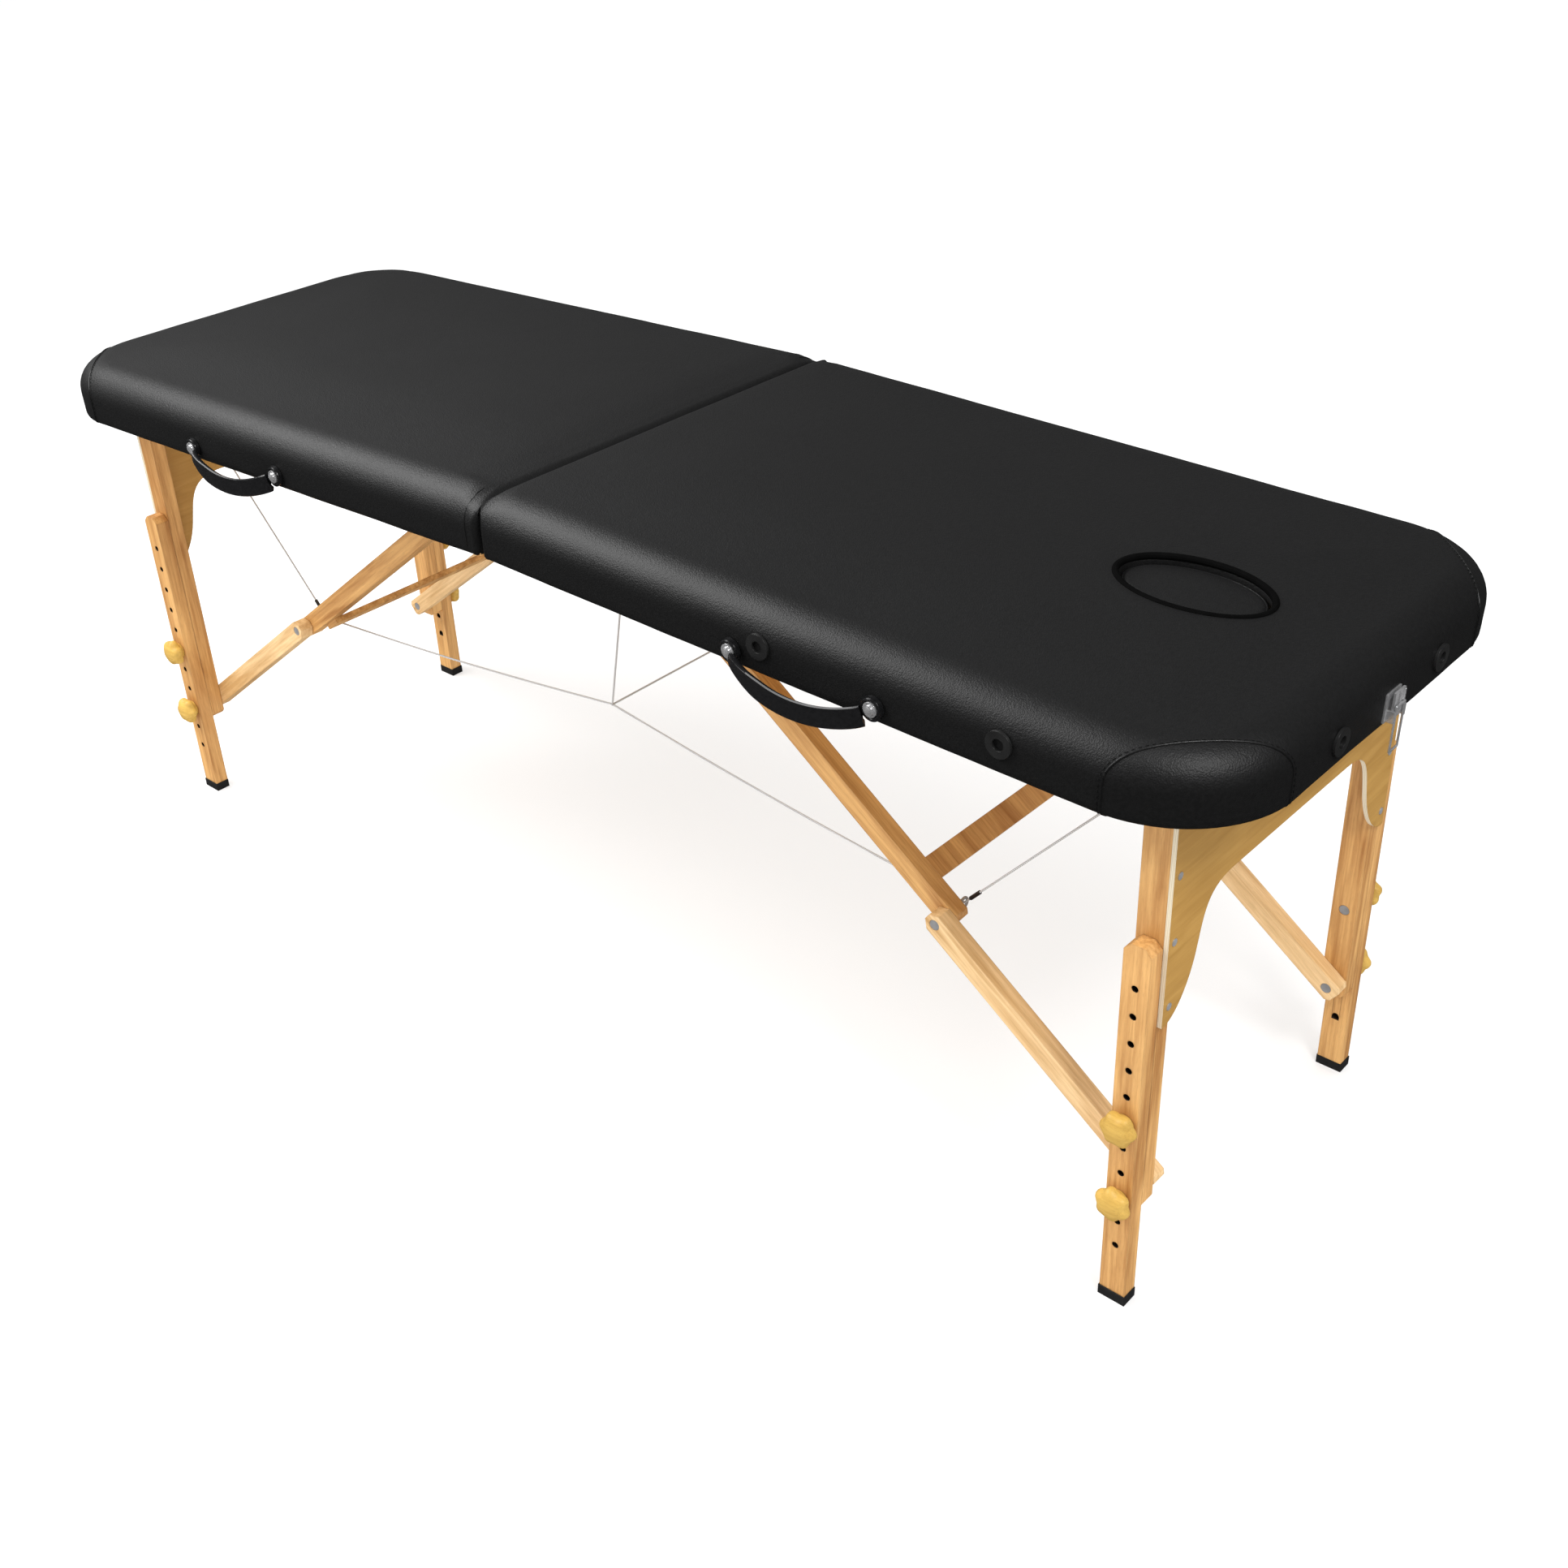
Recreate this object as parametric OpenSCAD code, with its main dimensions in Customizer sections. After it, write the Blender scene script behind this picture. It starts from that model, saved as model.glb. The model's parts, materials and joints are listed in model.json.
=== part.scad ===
// Two-section folding massage table, timber frame on cable-braced folding legs.
// Origin on the floor under the centre hinge. +X towards the head end, +Y away
// from the side with the carrying handles, +Z up. Millimetres.

/* [Top] */
// length of one half, centre hinge to end
half_l = 925; // [915:1:940]
// width of the upholstered top
top_w = 600; // [590:2:640]
// height of the centre hinge axis above the floor
hinge_h = 638; // [630:1:646]
// upward set of each half at the centre, degrees
camber = 1.4; // [1:0.1:1.8]
// thickness of frame and padding together at the padding's edge
top_t = 72; // [70:1:80]
// plan radius of the outer corners
corner_r = 125; // [110:1:140]
// radius of the soft top edge
edge_r = 42; // [40:1:48]

/* [Frame] */
// thickness of the frame rails
rail_t = 18; // [16:1:19]
// thickness of the plywood deck
deck_t = 4; // [3:0.5:5]
// length of the face opening
face_l = 161; // [150:1:170]
// width of the face opening
face_w = 101; // [95:1:110]
// distance from the centre hinge to the middle of the face opening
face_x = 714; // [705:1:720]

/* [Legs] */
// width of a leg strip
leg_w = 30; // [30:1:30]
// thickness of a leg strip
leg_t = 20; // [20:1:20]
// distance between the outer faces of the extensions
leg_span = 494; // [490:1:498]
// spacing of the height holes
hole_pitch = 33; // [32:0.5:33]
// number of height holes
hole_count = 11; // [11:1:11]
// height of the lowest hole above the floor
low_hole_z = 78; // [74:1:80]
// thickness of the plywood end panel
panel_t = 5; // [5:0.5:8]

/* [Braces] */
// width of a brace
brace_w = 26; // [24:1:26]
// distance from the centre hinge to the upper brace pivot
brace_x = 115; // [110:1:120]
// thickness of the cross bar
bar_t = 8; // [6:0.5:8]

/* [Hidden] */
gap = 0.3;                              // clearance between faces that slide past each other
run = 0.1;                              // radial clearance of a turning pin
eps = 0.5;                              // overshoot of a cut
split = 1;                              // frame and padding stop this far short of the hinge plane
rail_z = 1.5;                           // underside of the rails above the hinge axis
rail_top = 48;                          // underside of the deck
frame_inset = 4;                        // timber behind the upholstered outline
deck_inset = 7;
bolt_r = 4;
head_r = 6;
head_t = 3;

leg_rail_x = 852;                       // inner face of the rail that carries the legs
pivot_x = 831;                          // leg pivot in the half's own frame
pivot_z = 18;
leg_x = pivot_x * cos(camber) + pivot_z * sin(camber);
leg_z = hinge_h - pivot_x * sin(camber) + pivot_z * cos(camber);
leg_out = 9;                            // outer edge of the leg beyond its pivot
leg_mid = leg_out - leg_w / 2;
leg_top = 16;                           // top of the leg above its pivot
leg_end = 122;                          // lower end of the upper leg above the floor
ext_y = leg_span / 2;                   // outer faces of the layers, outermost first
upper_y = ext_y - leg_t;
low_brace_y = upper_y - leg_t;
high_brace_y = low_brace_y - leg_t;
block_y = high_brace_y - leg_t;
block_t = 20;
ext_top = 457;
foot_h = 12;
skin_t = 3;                             // wood left between the bolt channel and the outer face
channel_r = 4.5;
knob_hole = [2, 5];                     // holes in use, counted from the lowest
knob_r = 20;
knob_h = 22;
lobe_count = 6;

block_z = 30.5;                         // upper brace pivot above the hinge axis
brace_end = 14;                         // brace beyond its pivot
brace_cut = 5;                          // clipped corners of a brace's end
knee_end = 12;                          // the same two at the knee, shorter to clear the deck
knee_cut = 9;
brace_fx = brace_x * cos(camber) + block_z * sin(camber);
brace_fz = hinge_h - brace_x * sin(camber) + block_z * cos(camber);
brace_bx = leg_x + leg_mid;
brace_bz = low_hole_z + knob_hole[0] * hole_pitch;
stretched = norm([brace_bx - brace_fx, brace_bz - brace_fz]);
fold_x = pivot_x - (leg_z - brace_bz) - brace_x;          // along the frame when folded
fold_z = pivot_z - leg_mid - block_z;
// the stretched length and the folded triangle give the two brace lengths
low_brace = (stretched * stretched - 2 * stretched * fold_x + fold_x * fold_x + fold_z * fold_z)
            / (2 * (stretched - fold_x));
high_brace = stretched - low_brace;
brace_slope = atan2(brace_fz - brace_bz, brace_bx - brace_fx);
bar_w = 28;
bar_from_knee = 37;
bar_half = high_brace_y - 7;
knee_x = brace_bx - low_brace * cos(brace_slope);
knee_z = brace_bz + low_brace * sin(brace_slope);

panel_half = upper_y;
panel_top = -11;                        // below the leg pivot
arch_z = 484;
lobe_y = 188.5;                         // lobes of the end panel pass outside the upper braces
lobe_start = 430;
lobe_end = 358;
arch_r = 10;
panel_screw_z = [379, 454, 528, 602];

socket_r = 6.2;
socket_out = 9;
socket_l = 27;
rosette_r = 14;
rosette_t = 3;
end_socket_y = 100;
end_socket_z = 27;
side_socket_x = [416, 702];
side_socket_z = 32;

handle_x = [380, 560];
handle_z = 17;
strap_t = 4;
strap_w = 22;
strap_sag = 12;
tab_r = 13;

hinge_y = 200;
hinge_l = 60;
knuckles = 5;
knuckle_r = 3;
pin_r = 2.4;
leaf_t = 1.2;

latch_pin_x = 6.5;                      // ahead of the end face
latch_pin_z = 14;
latch_half = 10;
bail_pin_z = 24;
bail_x = 3;                             // ahead of the lever's pin
bail_r = 1.2;
bail_half = 8.2;
bail_end = -24;

cable_r = 1.2;
eye_y = 155;
eye_in = 4.5;
eye_wire = 1.6;
node_y = 128;
node_z = 377;
drop_y = 68;                            // where the centre cables reach the hinge line
anchor_z = 40;

wood = [0.82, 0.60, 0.36];
ply = [0.78, 0.62, 0.34];
knob_wood = [0.84, 0.72, 0.38];
leather = [0.10, 0.10, 0.11];
steel = [0.70, 0.70, 0.72];
rubber = [0.06, 0.06, 0.06];

$fn = 48;

HEAD = 1;
FOOT = -1;
NEAR = -1;
FAR = 1;

// ---------- frames ----------

// end = HEAD or FOOT; the mirrored end has +x outwards too
module outward(end) {
    mirror([end == FOOT ? 1 : 0, 0, 0]) children();
}

// the half's own frame: x outwards from the hinge axis, z up from it
module half_frame(end) {
    outward(end) translate([0, 0, hinge_h]) rotate([0, camber, 0]) children();
}

// upright frame at the leg pivot, x outwards
module leg_frame(end) {
    outward(end) translate([leg_x, 0, leg_z]) children();
}

// repeats its children for the near and the far side
module both_sides() {
    for (side = [NEAR, FAR]) mirror([0, side == NEAR ? 1 : 0, 0]) children();
}

module one_side(side) {
    mirror([0, side == NEAR ? 1 : 0, 0]) children();
}

// box from corner a to corner b
module block(a, b) {
    translate(a) cube(b - a);
}

// cylinder along y from y0 to y1 at (x, z)
module y_rod(x, z, y0, y1, r) {
    translate([x, y1, z]) rotate([90, 0, 0]) cylinder(r = r, h = y1 - y0);
}

// straight rod between two points
module rod(a, b, r) {
    d = b - a;
    translate(a) rotate([0, acos(d[2] / norm(d)), atan2(d[1], d[0])]) cylinder(r = r, h = norm(d));
}

// plan outline of a half, set in by the given amount; square at the hinge, round at the end
module half_outline(inset, hinge_inset) {
    r = corner_r - inset;
    w = top_w / 2 - inset;
    l = half_l - inset;
    translate([hinge_inset, -w]) square([l - r - hinge_inset, 2 * w]);
    translate([l - r - 1, -w + r]) square([r + 1, 2 * (w - r)]);
    for (s = [-1, 1]) translate([l - r, s * (w - r)]) circle(r, $fn = 96);
}

// ---------- frame ----------

module side_rails(end) {
    color(wood) half_frame(end) for (side = [NEAR, FAR]) one_side(side) difference() {
        block([4, top_w / 2 - frame_inset - rail_t, rail_z],
              [half_l - corner_r, top_w / 2 - frame_inset, rail_top]);
        if (end == HEAD) for (x = side_socket_x)
            y_rod(x, side_socket_z, top_w / 2 - 40, top_w / 2, socket_out + 0.05);
        if (side == NEAR) for (x = handle_x)
            y_rod(x, handle_z, top_w / 2 - 16, top_w / 2, 2.55);
    }
}

module cross_rails(end) {
    inner = top_w / 2 - frame_inset - rail_t;
    corner_out = corner_r - frame_inset;
    mid_x = half_l - corner_r;
    mid_y = top_w / 2 - corner_r;
    color(wood) half_frame(end) {
        // rail at the fold, kept off the hinge knuckles
        block([4, -inner, rail_z], [4 + rail_t, inner, rail_top]);
        // rail the legs hang from
        block([leg_rail_x, -250, rail_z], [leg_rail_x + rail_t, 250, rail_top]);
        // end rail
        difference() {
            block([half_l - frame_inset - rail_t, -mid_y, rail_z],
                  [half_l - frame_inset, mid_y, rail_top]);
            if (end == HEAD) for (y = [-end_socket_y, end_socket_y])
                translate([half_l - 40, y, end_socket_z]) rotate([0, 90, 0])
                    cylinder(r = socket_out + 0.05, h = 40);
        }
        // round corner blocks
        both_sides() translate([mid_x, mid_y, rail_z]) intersection() {
            difference() {
                cylinder(r = corner_out, h = rail_top - rail_z, $fn = 96);
                translate([0, 0, -eps]) cylinder(r = corner_out - rail_t, h = rail_top, $fn = 96);
            }
            cube(corner_r);
        }
        // blocks under the deck that hold the upper brace pivots
        both_sides() difference() {
            block([brace_x - 20, block_y - block_t, 14], [brace_x + 20, block_y - gap, rail_top]);
            y_rod(brace_x, block_z, block_y - block_t - eps, block_y + eps, bolt_r + 0.05);
        }
    }
}

module deck(end) {
    color(ply) half_frame(end) difference() {
        translate([0, 0, rail_top]) linear_extrude(deck_t) half_outline(deck_inset, split);
        if (end == HEAD) translate([face_x, 0, rail_top - eps])
            linear_extrude(deck_t + 2 * eps) scale([1, face_w / face_l]) circle(d = face_l - 26, $fn = 64);
    }
}

// inset of the rounded edge at height z
function edge_inset(z, r) = r * (1 - cos(asin(min(1, max(0, (z - top_t + r) / r)))));

module pad(end) {
    crown = 4;
    fold_r = 18;
    base = rail_top + deck_t;
    levels = [base, base + 8, base + 15, top_t - 0.4];
    color(leather) half_frame(end) difference() {
        hull() {
            for (z = levels) translate([0, 0, z]) linear_extrude(0.4)
                half_outline(edge_inset(z, edge_r), split + edge_inset(z, fold_r));
            translate([0, 0, top_t + crown - 0.4]) linear_extrude(0.4) half_outline(120, 120);
        }
        if (end == HEAD) translate([face_x, 0, base - eps])
            linear_extrude(40) scale([1, face_w / face_l]) circle(d = face_l, $fn = 64);
    }
}

module plug() {
    color(leather) half_frame(HEAD) translate([face_x, 0, rail_top + deck_t])
        linear_extrude(top_t - rail_top - deck_t - 1)
            scale([1, (face_w - 6) / (face_l - 6)]) circle(d = face_l - 6, $fn = 64);
}

// ---------- fittings on the frame ----------

// accessory socket along +z, mouth at z = 0, barrel below
module socket() {
    difference() {
        union() {
            cylinder(r = rosette_r, h = rosette_t);
            translate([0, 0, -socket_l + rosette_t]) cylinder(r = socket_out, h = socket_l - rosette_t);
        }
        translate([0, 0, -socket_l]) cylinder(r = socket_r, h = 2 * socket_l);
    }
}

module sockets() {
    color(rubber) half_frame(HEAD) {
        for (y = [-end_socket_y, end_socket_y])
            translate([half_l, y, end_socket_z]) rotate([0, 90, 0]) socket();
        for (side = [-1, 1]) for (x = side_socket_x)
            translate([x, side * top_w / 2, side_socket_z]) rotate([-side * 90, 0, 0]) socket();
    }
}

// the part of the strap that swings
module handle(end) {
    chord = handle_x[1] - handle_x[0] - 20;
    r = (chord * chord / 4 + strap_sag * strap_sag) / (2 * strap_sag);
    mid = (handle_x[0] + handle_x[1]) / 2;
    color(leather) half_frame(end)
        translate([mid, -top_w / 2 - 1 - strap_t - gap, handle_z - tab_r - strap_w / 2 - 1 + r])
            rotate([90, 0, 0]) linear_extrude(strap_t) intersection() {
                difference() {
                    circle(r + strap_w / 2, $fn = 200);
                    circle(r - strap_w / 2, $fn = 200);
                }
                translate([-chord / 2, -2 * r]) square([chord, 2 * r]);
            }
}

module handle_tabs(end) {
    color(leather) half_frame(end) for (x = handle_x) difference() {
        y_rod(x, handle_z, -top_w / 2 - 1 - strap_t, -top_w / 2 - 1, tab_r);
        y_rod(x, handle_z, -top_w / 2 - 10, -top_w / 2, 2.6);
    }
}

module handle_screws(end) {
    face = -top_w / 2 - 1 - strap_t;
    color(steel) half_frame(end) for (x = handle_x) {
        y_rod(x, handle_z, face, -top_w / 2 + 15, 2.5);
        y_rod(x, handle_z, face - 2, face, 8);
        y_rod(x, handle_z, face - 4, face - 2, 5);
    }
}

module latch_base() {
    color(steel) half_frame(HEAD) translate([half_l, 0, 0]) {
        block([0, -14, 6], [2, 14, 36]);
        for (s = [-1, 1]) difference() {
            block([2, s * 11.4 - 0.9, 8], [10, s * 11.4 + 0.9, 20]);
            y_rod(latch_pin_x, latch_pin_z, -14, 14, 1.6 + run);
        }
    }
}

module latch_lever() {
    color(steel) half_frame(HEAD) translate([half_l, 0, 0]) {
        difference() {
            block([latch_pin_x - 1, -latch_half, latch_pin_z - 3], [latch_pin_x + 1.5, latch_half, 38]);
            y_rod(latch_pin_x + bail_x, bail_pin_z, -latch_half - 1, latch_half + 1, bail_r + 0.6);
        }
        y_rod(latch_pin_x, latch_pin_z, -12.3, 12.3, 1.6);
        for (s = [-1, 1])
            block([latch_pin_x + 1.5, s * 6 - 0.8, bail_pin_z + 2], [latch_pin_x + 3.5, s * 6 + 0.8, 38]);
    }
}

// wire loop that reaches over the keeper on the other half
module latch_bail() {
    x = latch_pin_x + bail_x;
    color(steel) half_frame(HEAD) translate([half_l, 0, 0]) {
        y_rod(x, bail_pin_z, -bail_half, bail_half, bail_r);
        y_rod(x, bail_end, -bail_half, bail_half, bail_r);
        for (s = [-1, 1])
            rod([x, s * bail_half, bail_pin_z], [x, s * bail_half, bail_end], bail_r);
        for (s = [-1, 1]) for (z = [bail_pin_z, bail_end])
            translate([x, s * bail_half, z]) sphere(r = bail_r);
    }
}

module latch_keeper() {
    color(steel) half_frame(FOOT) translate([half_l, 0, 0]) {
        block([0, -14, 8], [2, 14, 30]);
        block([2, -6, 18], [9.5, 6, 22]);
    }
}

// hinge leaves of one half: a plate under the fold rail and every other knuckle
module hinge_leaves(end) {
    first = end == HEAD ? 0 : 1;
    seg = hinge_l / knuckles;
    color(steel) half_frame(end) for (y = [-hinge_y, hinge_y]) {
        block([knuckle_r + 0.6, y - hinge_l / 2, rail_z - leaf_t], [22, y + hinge_l / 2, rail_z]);
        for (k = [first : 2 : knuckles - 1]) {
            y0 = y - hinge_l / 2 + k * seg + 0.15;
            difference() {
                union() {
                    y_rod(0, 0, y0, y0 + seg - 0.3, knuckle_r);
                    block([0, y0, rail_z - leaf_t], [knuckle_r + 1, y0 + seg - 0.3, rail_z]);
                }
                y_rod(0, 0, y0 - 1, y0 + seg, pin_r + run);
            }
        }
    }
}

module hinge_pins() {
    color(steel) for (y = [-hinge_y, hinge_y]) {
        y_rod(0, hinge_h, y - hinge_l / 2 - 1.5, y + hinge_l / 2 + 1.5, pin_r);
        for (s = [-1, 1])
            y_rod(0, hinge_h, y + s * (hinge_l / 2 + 1.2) - 0.8, y + s * (hinge_l / 2 + 1.2) + 0.8, 3);
    }
}

// ears and pivot bolts that carry the legs, and the bolts of the upper braces
module leg_brackets(end) {
    ear = low_brace_y - gap;
    color(steel) half_frame(end) both_sides() {
        difference() {
            union() {
                block([pivot_x, ear - 3, pivot_z - 8], [leg_rail_x, ear, pivot_z + 8]);
                y_rod(pivot_x, pivot_z, ear - 3, ear, 10);
                block([leg_rail_x - 3, ear - 23, 6], [leg_rail_x, ear, 42]);
            }
            y_rod(pivot_x, pivot_z, ear - 30, ear + 1, bolt_r + 0.05);
        }
        y_rod(pivot_x, pivot_z, ear - 6, upper_y + gap + 1, bolt_r);
        y_rod(pivot_x, pivot_z, ear - 7, ear - 3, head_r);
        y_rod(pivot_x, pivot_z, upper_y + gap, upper_y + gap + head_t, head_r);
        y_rod(brace_x, block_z, block_y - block_t - 4, high_brace_y + gap + 1, bolt_r);
        y_rod(brace_x, block_z, block_y - block_t - 5, block_y - block_t, head_r);
        y_rod(brace_x, block_z, high_brace_y + gap, high_brace_y + gap + head_t, head_r);
    }
}

// ---------- legs ----------

function floor_z(z) = z - leg_z;
function hole_z(k) = floor_z(low_hole_z + k * hole_pitch);

module upper_legs(end) {
    cut = 6;
    color(wood) leg_frame(end) both_sides() difference() {
        translate([0, upper_y, 0]) rotate([90, 0, 0]) linear_extrude(leg_t) polygon([
            [leg_out - leg_w, leg_top], [leg_out, leg_top],
            [leg_out, floor_z(leg_end) + cut], [leg_out - cut, floor_z(leg_end)],
            [leg_out - leg_w + cut, floor_z(leg_end)], [leg_out - leg_w, floor_z(leg_end) + cut]]);
        y_rod(0, 0, low_brace_y - eps, upper_y + eps, bolt_r + run);
        for (k = knob_hole) y_rod(leg_mid, hole_z(k), low_brace_y - eps, upper_y + eps, bolt_r + 0.05);
        y_rod(leg_mid, hole_z(knob_hole[1]), low_brace_y - eps, low_brace_y + head_t + gap, head_r + gap);
    }
}

module end_panel(end) {
    w = panel_half;
    base = floor_z(lobe_end);
    rise = lobe_start - lobe_end;
    reach = w - lobe_y;
    quarter = [for (a = [0 : 10 : 90]) [w - reach * sin(a), floor_z(lobe_start) - rise * cos(a)]];
    arch = [for (a = [0 : 15 : 90])
        [lobe_y - arch_r + arch_r * cos(a), floor_z(arch_z) - arch_r + arch_r * sin(a)]];
    side = concat([[w, panel_top]], quarter, arch);
    count = len(side);
    other = [for (i = [count - 1 : -1 : 0]) [-side[i][0], side[i][1]]];
    color(ply) leg_frame(end) translate([leg_out, 0, 0]) rotate([90, 0, 90])
        linear_extrude(panel_t) polygon(concat(side, other));
}

// bolts through legs and extensions, and the screws of the end panel
module leg_fasteners(end) {
    tip = ext_y - skin_t - gap;
    deep = [high_brace_y + gap, low_brace_y + gap];
    color(steel) leg_frame(end) both_sides() {
        for (i = [0, 1]) {
            y_rod(leg_mid, hole_z(knob_hole[i]), deep[i], tip, bolt_r);
            y_rod(leg_mid, hole_z(knob_hole[i]), deep[i], deep[i] + head_t, head_r);
        }
        for (z = panel_screw_z) translate([leg_out + panel_t, upper_y - leg_t / 2, floor_z(z)])
            rotate([0, 90, 0]) cylinder(r = 4, h = 0.8);
    }
}

// lower leg strip with the row of height holes, and a channel for the bolts along its inner face
module extension(end, side) {
    cut = 8;
    low = floor_z(foot_h);
    high = floor_z(ext_top);
    channel_y = ext_y - skin_t;
    color(wood) leg_frame(end) one_side(side) difference() {
        translate([0, ext_y, 0]) rotate([90, 0, 0]) linear_extrude(leg_t - gap) polygon([
            [leg_out - leg_w, low], [leg_out, low], [leg_out, high - cut], [leg_out - cut, high],
            [leg_out - leg_w + cut, high], [leg_out - leg_w, high - cut]]);
        block([leg_mid - channel_r, upper_y, hole_z(0)],
              [leg_mid + channel_r, channel_y, hole_z(hole_count - 1)]);
        for (k = [0, hole_count - 1]) y_rod(leg_mid, hole_z(k), upper_y, channel_y, channel_r);
        for (k = [0 : hole_count - 1]) y_rod(leg_mid, hole_z(k), upper_y, ext_y + eps, bolt_r - 0.2);
    }
}

module rubber_foot(end, side) {
    color(rubber) leg_frame(end) one_side(side)
        block([leg_out - leg_w - 1, upper_y + gap, floor_z(0)], [leg_out + 1, ext_y + 1, floor_z(foot_h)]);
}

// lobed hand knob; low = true for the lower one of a leg
module knob(end, side, low) {
    z = hole_z(knob_hole[low ? 0 : 1]);
    lobe_r = 7;
    color(knob_wood) leg_frame(end) one_side(side) translate([leg_mid, ext_y + gap, z])
        rotate([-90, 0, 0]) {
            cylinder(r = 11, h = 5);
            translate([0, 0, 5]) linear_extrude(knob_h - 9) {
                circle(knob_r - lobe_r, $fn = 48);
                for (k = [0 : lobe_count - 1]) rotate(k * 360 / lobe_count)
                    translate([knob_r - lobe_r, 0]) circle(lobe_r, $fn = 32);
            }
            translate([0, 0, knob_h - 4]) cylinder(r1 = 15, r2 = 8, h = 4);
        }
}

// ---------- braces ----------

// frame on a stretched brace: origin at the leg's brace pivot, x towards the knee and the frame pivot
module brace_frame(end) {
    outward(end) translate([brace_bx, 0, brace_bz]) rotate([0, 180 + brace_slope, 0])
        mirror([0, 0, 1]) children();
}

// strip between two pivots with clipped ends; each end is [reach beyond its pivot, corner cut]
module strip(x0, x1, end0, end1, y0, y1) {
    h = brace_w / 2;
    a = x0 - end0[0];
    b = x1 + end1[0];
    translate([0, y1, 0]) rotate([90, 0, 0]) linear_extrude(y1 - y0) polygon([
        [a, -h + end0[1]], [a + end0[1], -h], [b - end1[1], -h], [b, -h + end1[1]],
        [b, h - end1[1]], [b - end1[1], h], [a + end0[1], h], [a, h - end0[1]]]);
}

module lower_braces(end) {
    y0 = high_brace_y + gap;
    y1 = low_brace_y - gap;
    color(wood) brace_frame(end) both_sides() difference() {
        strip(0, low_brace, [brace_end, brace_cut], [knee_end, knee_cut], y0, y1);
        y_rod(0, 0, y0 - eps, y1 + eps, bolt_r + run);
        y_rod(0, 0, y0 - eps, y0 + head_t + gap, head_r + gap);
        y_rod(low_brace, 0, y0 - eps, y1 + eps, bolt_r + 0.05);
        y_rod(low_brace, 0, y1 - head_t, y1 + eps, head_r + 0.2);
    }
}

module upper_braces(end) {
    bar_x = low_brace + bar_from_knee;
    color(wood) brace_frame(end) {
        both_sides() difference() {
            strip(low_brace, stretched, [knee_end, brace_cut], [brace_end, brace_cut],
                  block_y, high_brace_y);
            y_rod(low_brace, 0, block_y - eps, high_brace_y + eps, bolt_r + 0.05);
            y_rod(stretched, 0, block_y - eps, high_brace_y + eps, bolt_r + run);
        }
        block([bar_x, -bar_half, -brace_w / 2 - bar_t], [bar_x + bar_w, bar_half, -brace_w / 2]);
    }
}

// the part of the knee bolt that turns with the lower brace
module knee_bolts(end) {
    y0 = high_brace_y + gap;
    y1 = low_brace_y - gap;
    color(steel) brace_frame(end) both_sides() {
        y_rod(low_brace, 0, y0, y1 - head_t, bolt_r);
        y_rod(low_brace, 0, y1 - head_t, y1 - 0.4, head_r);
    }
}

// the part of the knee bolt that turns with the upper brace, with the cable eye
module knee_eyes(end) {
    ring_r = eye_in + eye_wire;
    color(steel) both_sides() {
        brace_frame(end) {
            y_rod(low_brace, 0, eye_y + ring_r, high_brace_y, bolt_r);
            y_rod(low_brace, 0, block_y - 1.6, block_y, head_r);
        }
        outward(end) translate([knee_x, eye_y, knee_z]) rotate([0, 90, 0])
            rotate_extrude($fn = 48) translate([ring_r, 0]) circle(eye_wire, $fn = 20);
    }
}

// ---------- cables ----------

module cables(end) {
    knee = [knee_x, eye_y, knee_z];
    anchor_x = leg_rail_x - 1.5;
    top = [anchor_x * cos(camber) + anchor_z * sin(camber), eye_y,
           hinge_h - anchor_x * sin(camber) + anchor_z * cos(camber)];
    low = [2, node_y - 0.1, node_z];
    color(steel) outward(end) both_sides() {
        rod(top, knee, cable_r);
        rod(knee, low, cable_r);
        translate(knee) sphere(r = cable_r + 0.5);
        // crimped sleeve beside the eye
        rod(knee + 14 * (top - knee) / norm(top - knee), knee + 32 * (top - knee) / norm(top - knee), 2.2);
    }
}

// hangers from the hinge line and the link between the two sides
module centre_cables() {
    color(steel) {
        for (s = [-1, 1]) {
            rod([0, s * drop_y, hinge_h - 1], [0, s * node_y, node_z], cable_r);
            translate([0, s * node_y, node_z]) sphere(r = 1.7);
            translate([0, s * drop_y, hinge_h - 1]) sphere(r = 2.2);
        }
        rod([0, -node_y, node_z], [0, node_y, node_z], cable_r);
    }
}

// ---------- nodes ----------

module head_side_rails() side_rails(HEAD);
module head_cross_rails() cross_rails(HEAD);
module head_deck() deck(HEAD);
module head_pad() pad(HEAD);
module head_plug() plug();
module head_sockets() sockets();
module head_handle() handle(HEAD);
module head_handle_tabs() handle_tabs(HEAD);
module head_handle_screws() handle_screws(HEAD);
module head_hinge_leaves() hinge_leaves(HEAD);
module head_leg_brackets() leg_brackets(HEAD);
module head_upper_legs() upper_legs(HEAD);
module head_end_panel() end_panel(HEAD);
module head_leg_fasteners() leg_fasteners(HEAD);
module head_near_extension() extension(HEAD, NEAR);
module head_far_extension() extension(HEAD, FAR);
module head_near_foot() rubber_foot(HEAD, NEAR);
module head_far_foot() rubber_foot(HEAD, FAR);
module head_near_upper_knob() knob(HEAD, NEAR, false);
module head_near_lower_knob() knob(HEAD, NEAR, true);
module head_far_upper_knob() knob(HEAD, FAR, false);
module head_far_lower_knob() knob(HEAD, FAR, true);
module head_upper_braces() upper_braces(HEAD);
module head_lower_braces() lower_braces(HEAD);
module head_knee_bolts() knee_bolts(HEAD);
module head_knee_eyes() knee_eyes(HEAD);
module head_cables() cables(HEAD);
module foot_side_rails() side_rails(FOOT);
module foot_cross_rails() cross_rails(FOOT);
module foot_deck() deck(FOOT);
module foot_pad() pad(FOOT);
module foot_handle() handle(FOOT);
module foot_handle_tabs() handle_tabs(FOOT);
module foot_handle_screws() handle_screws(FOOT);
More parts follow.
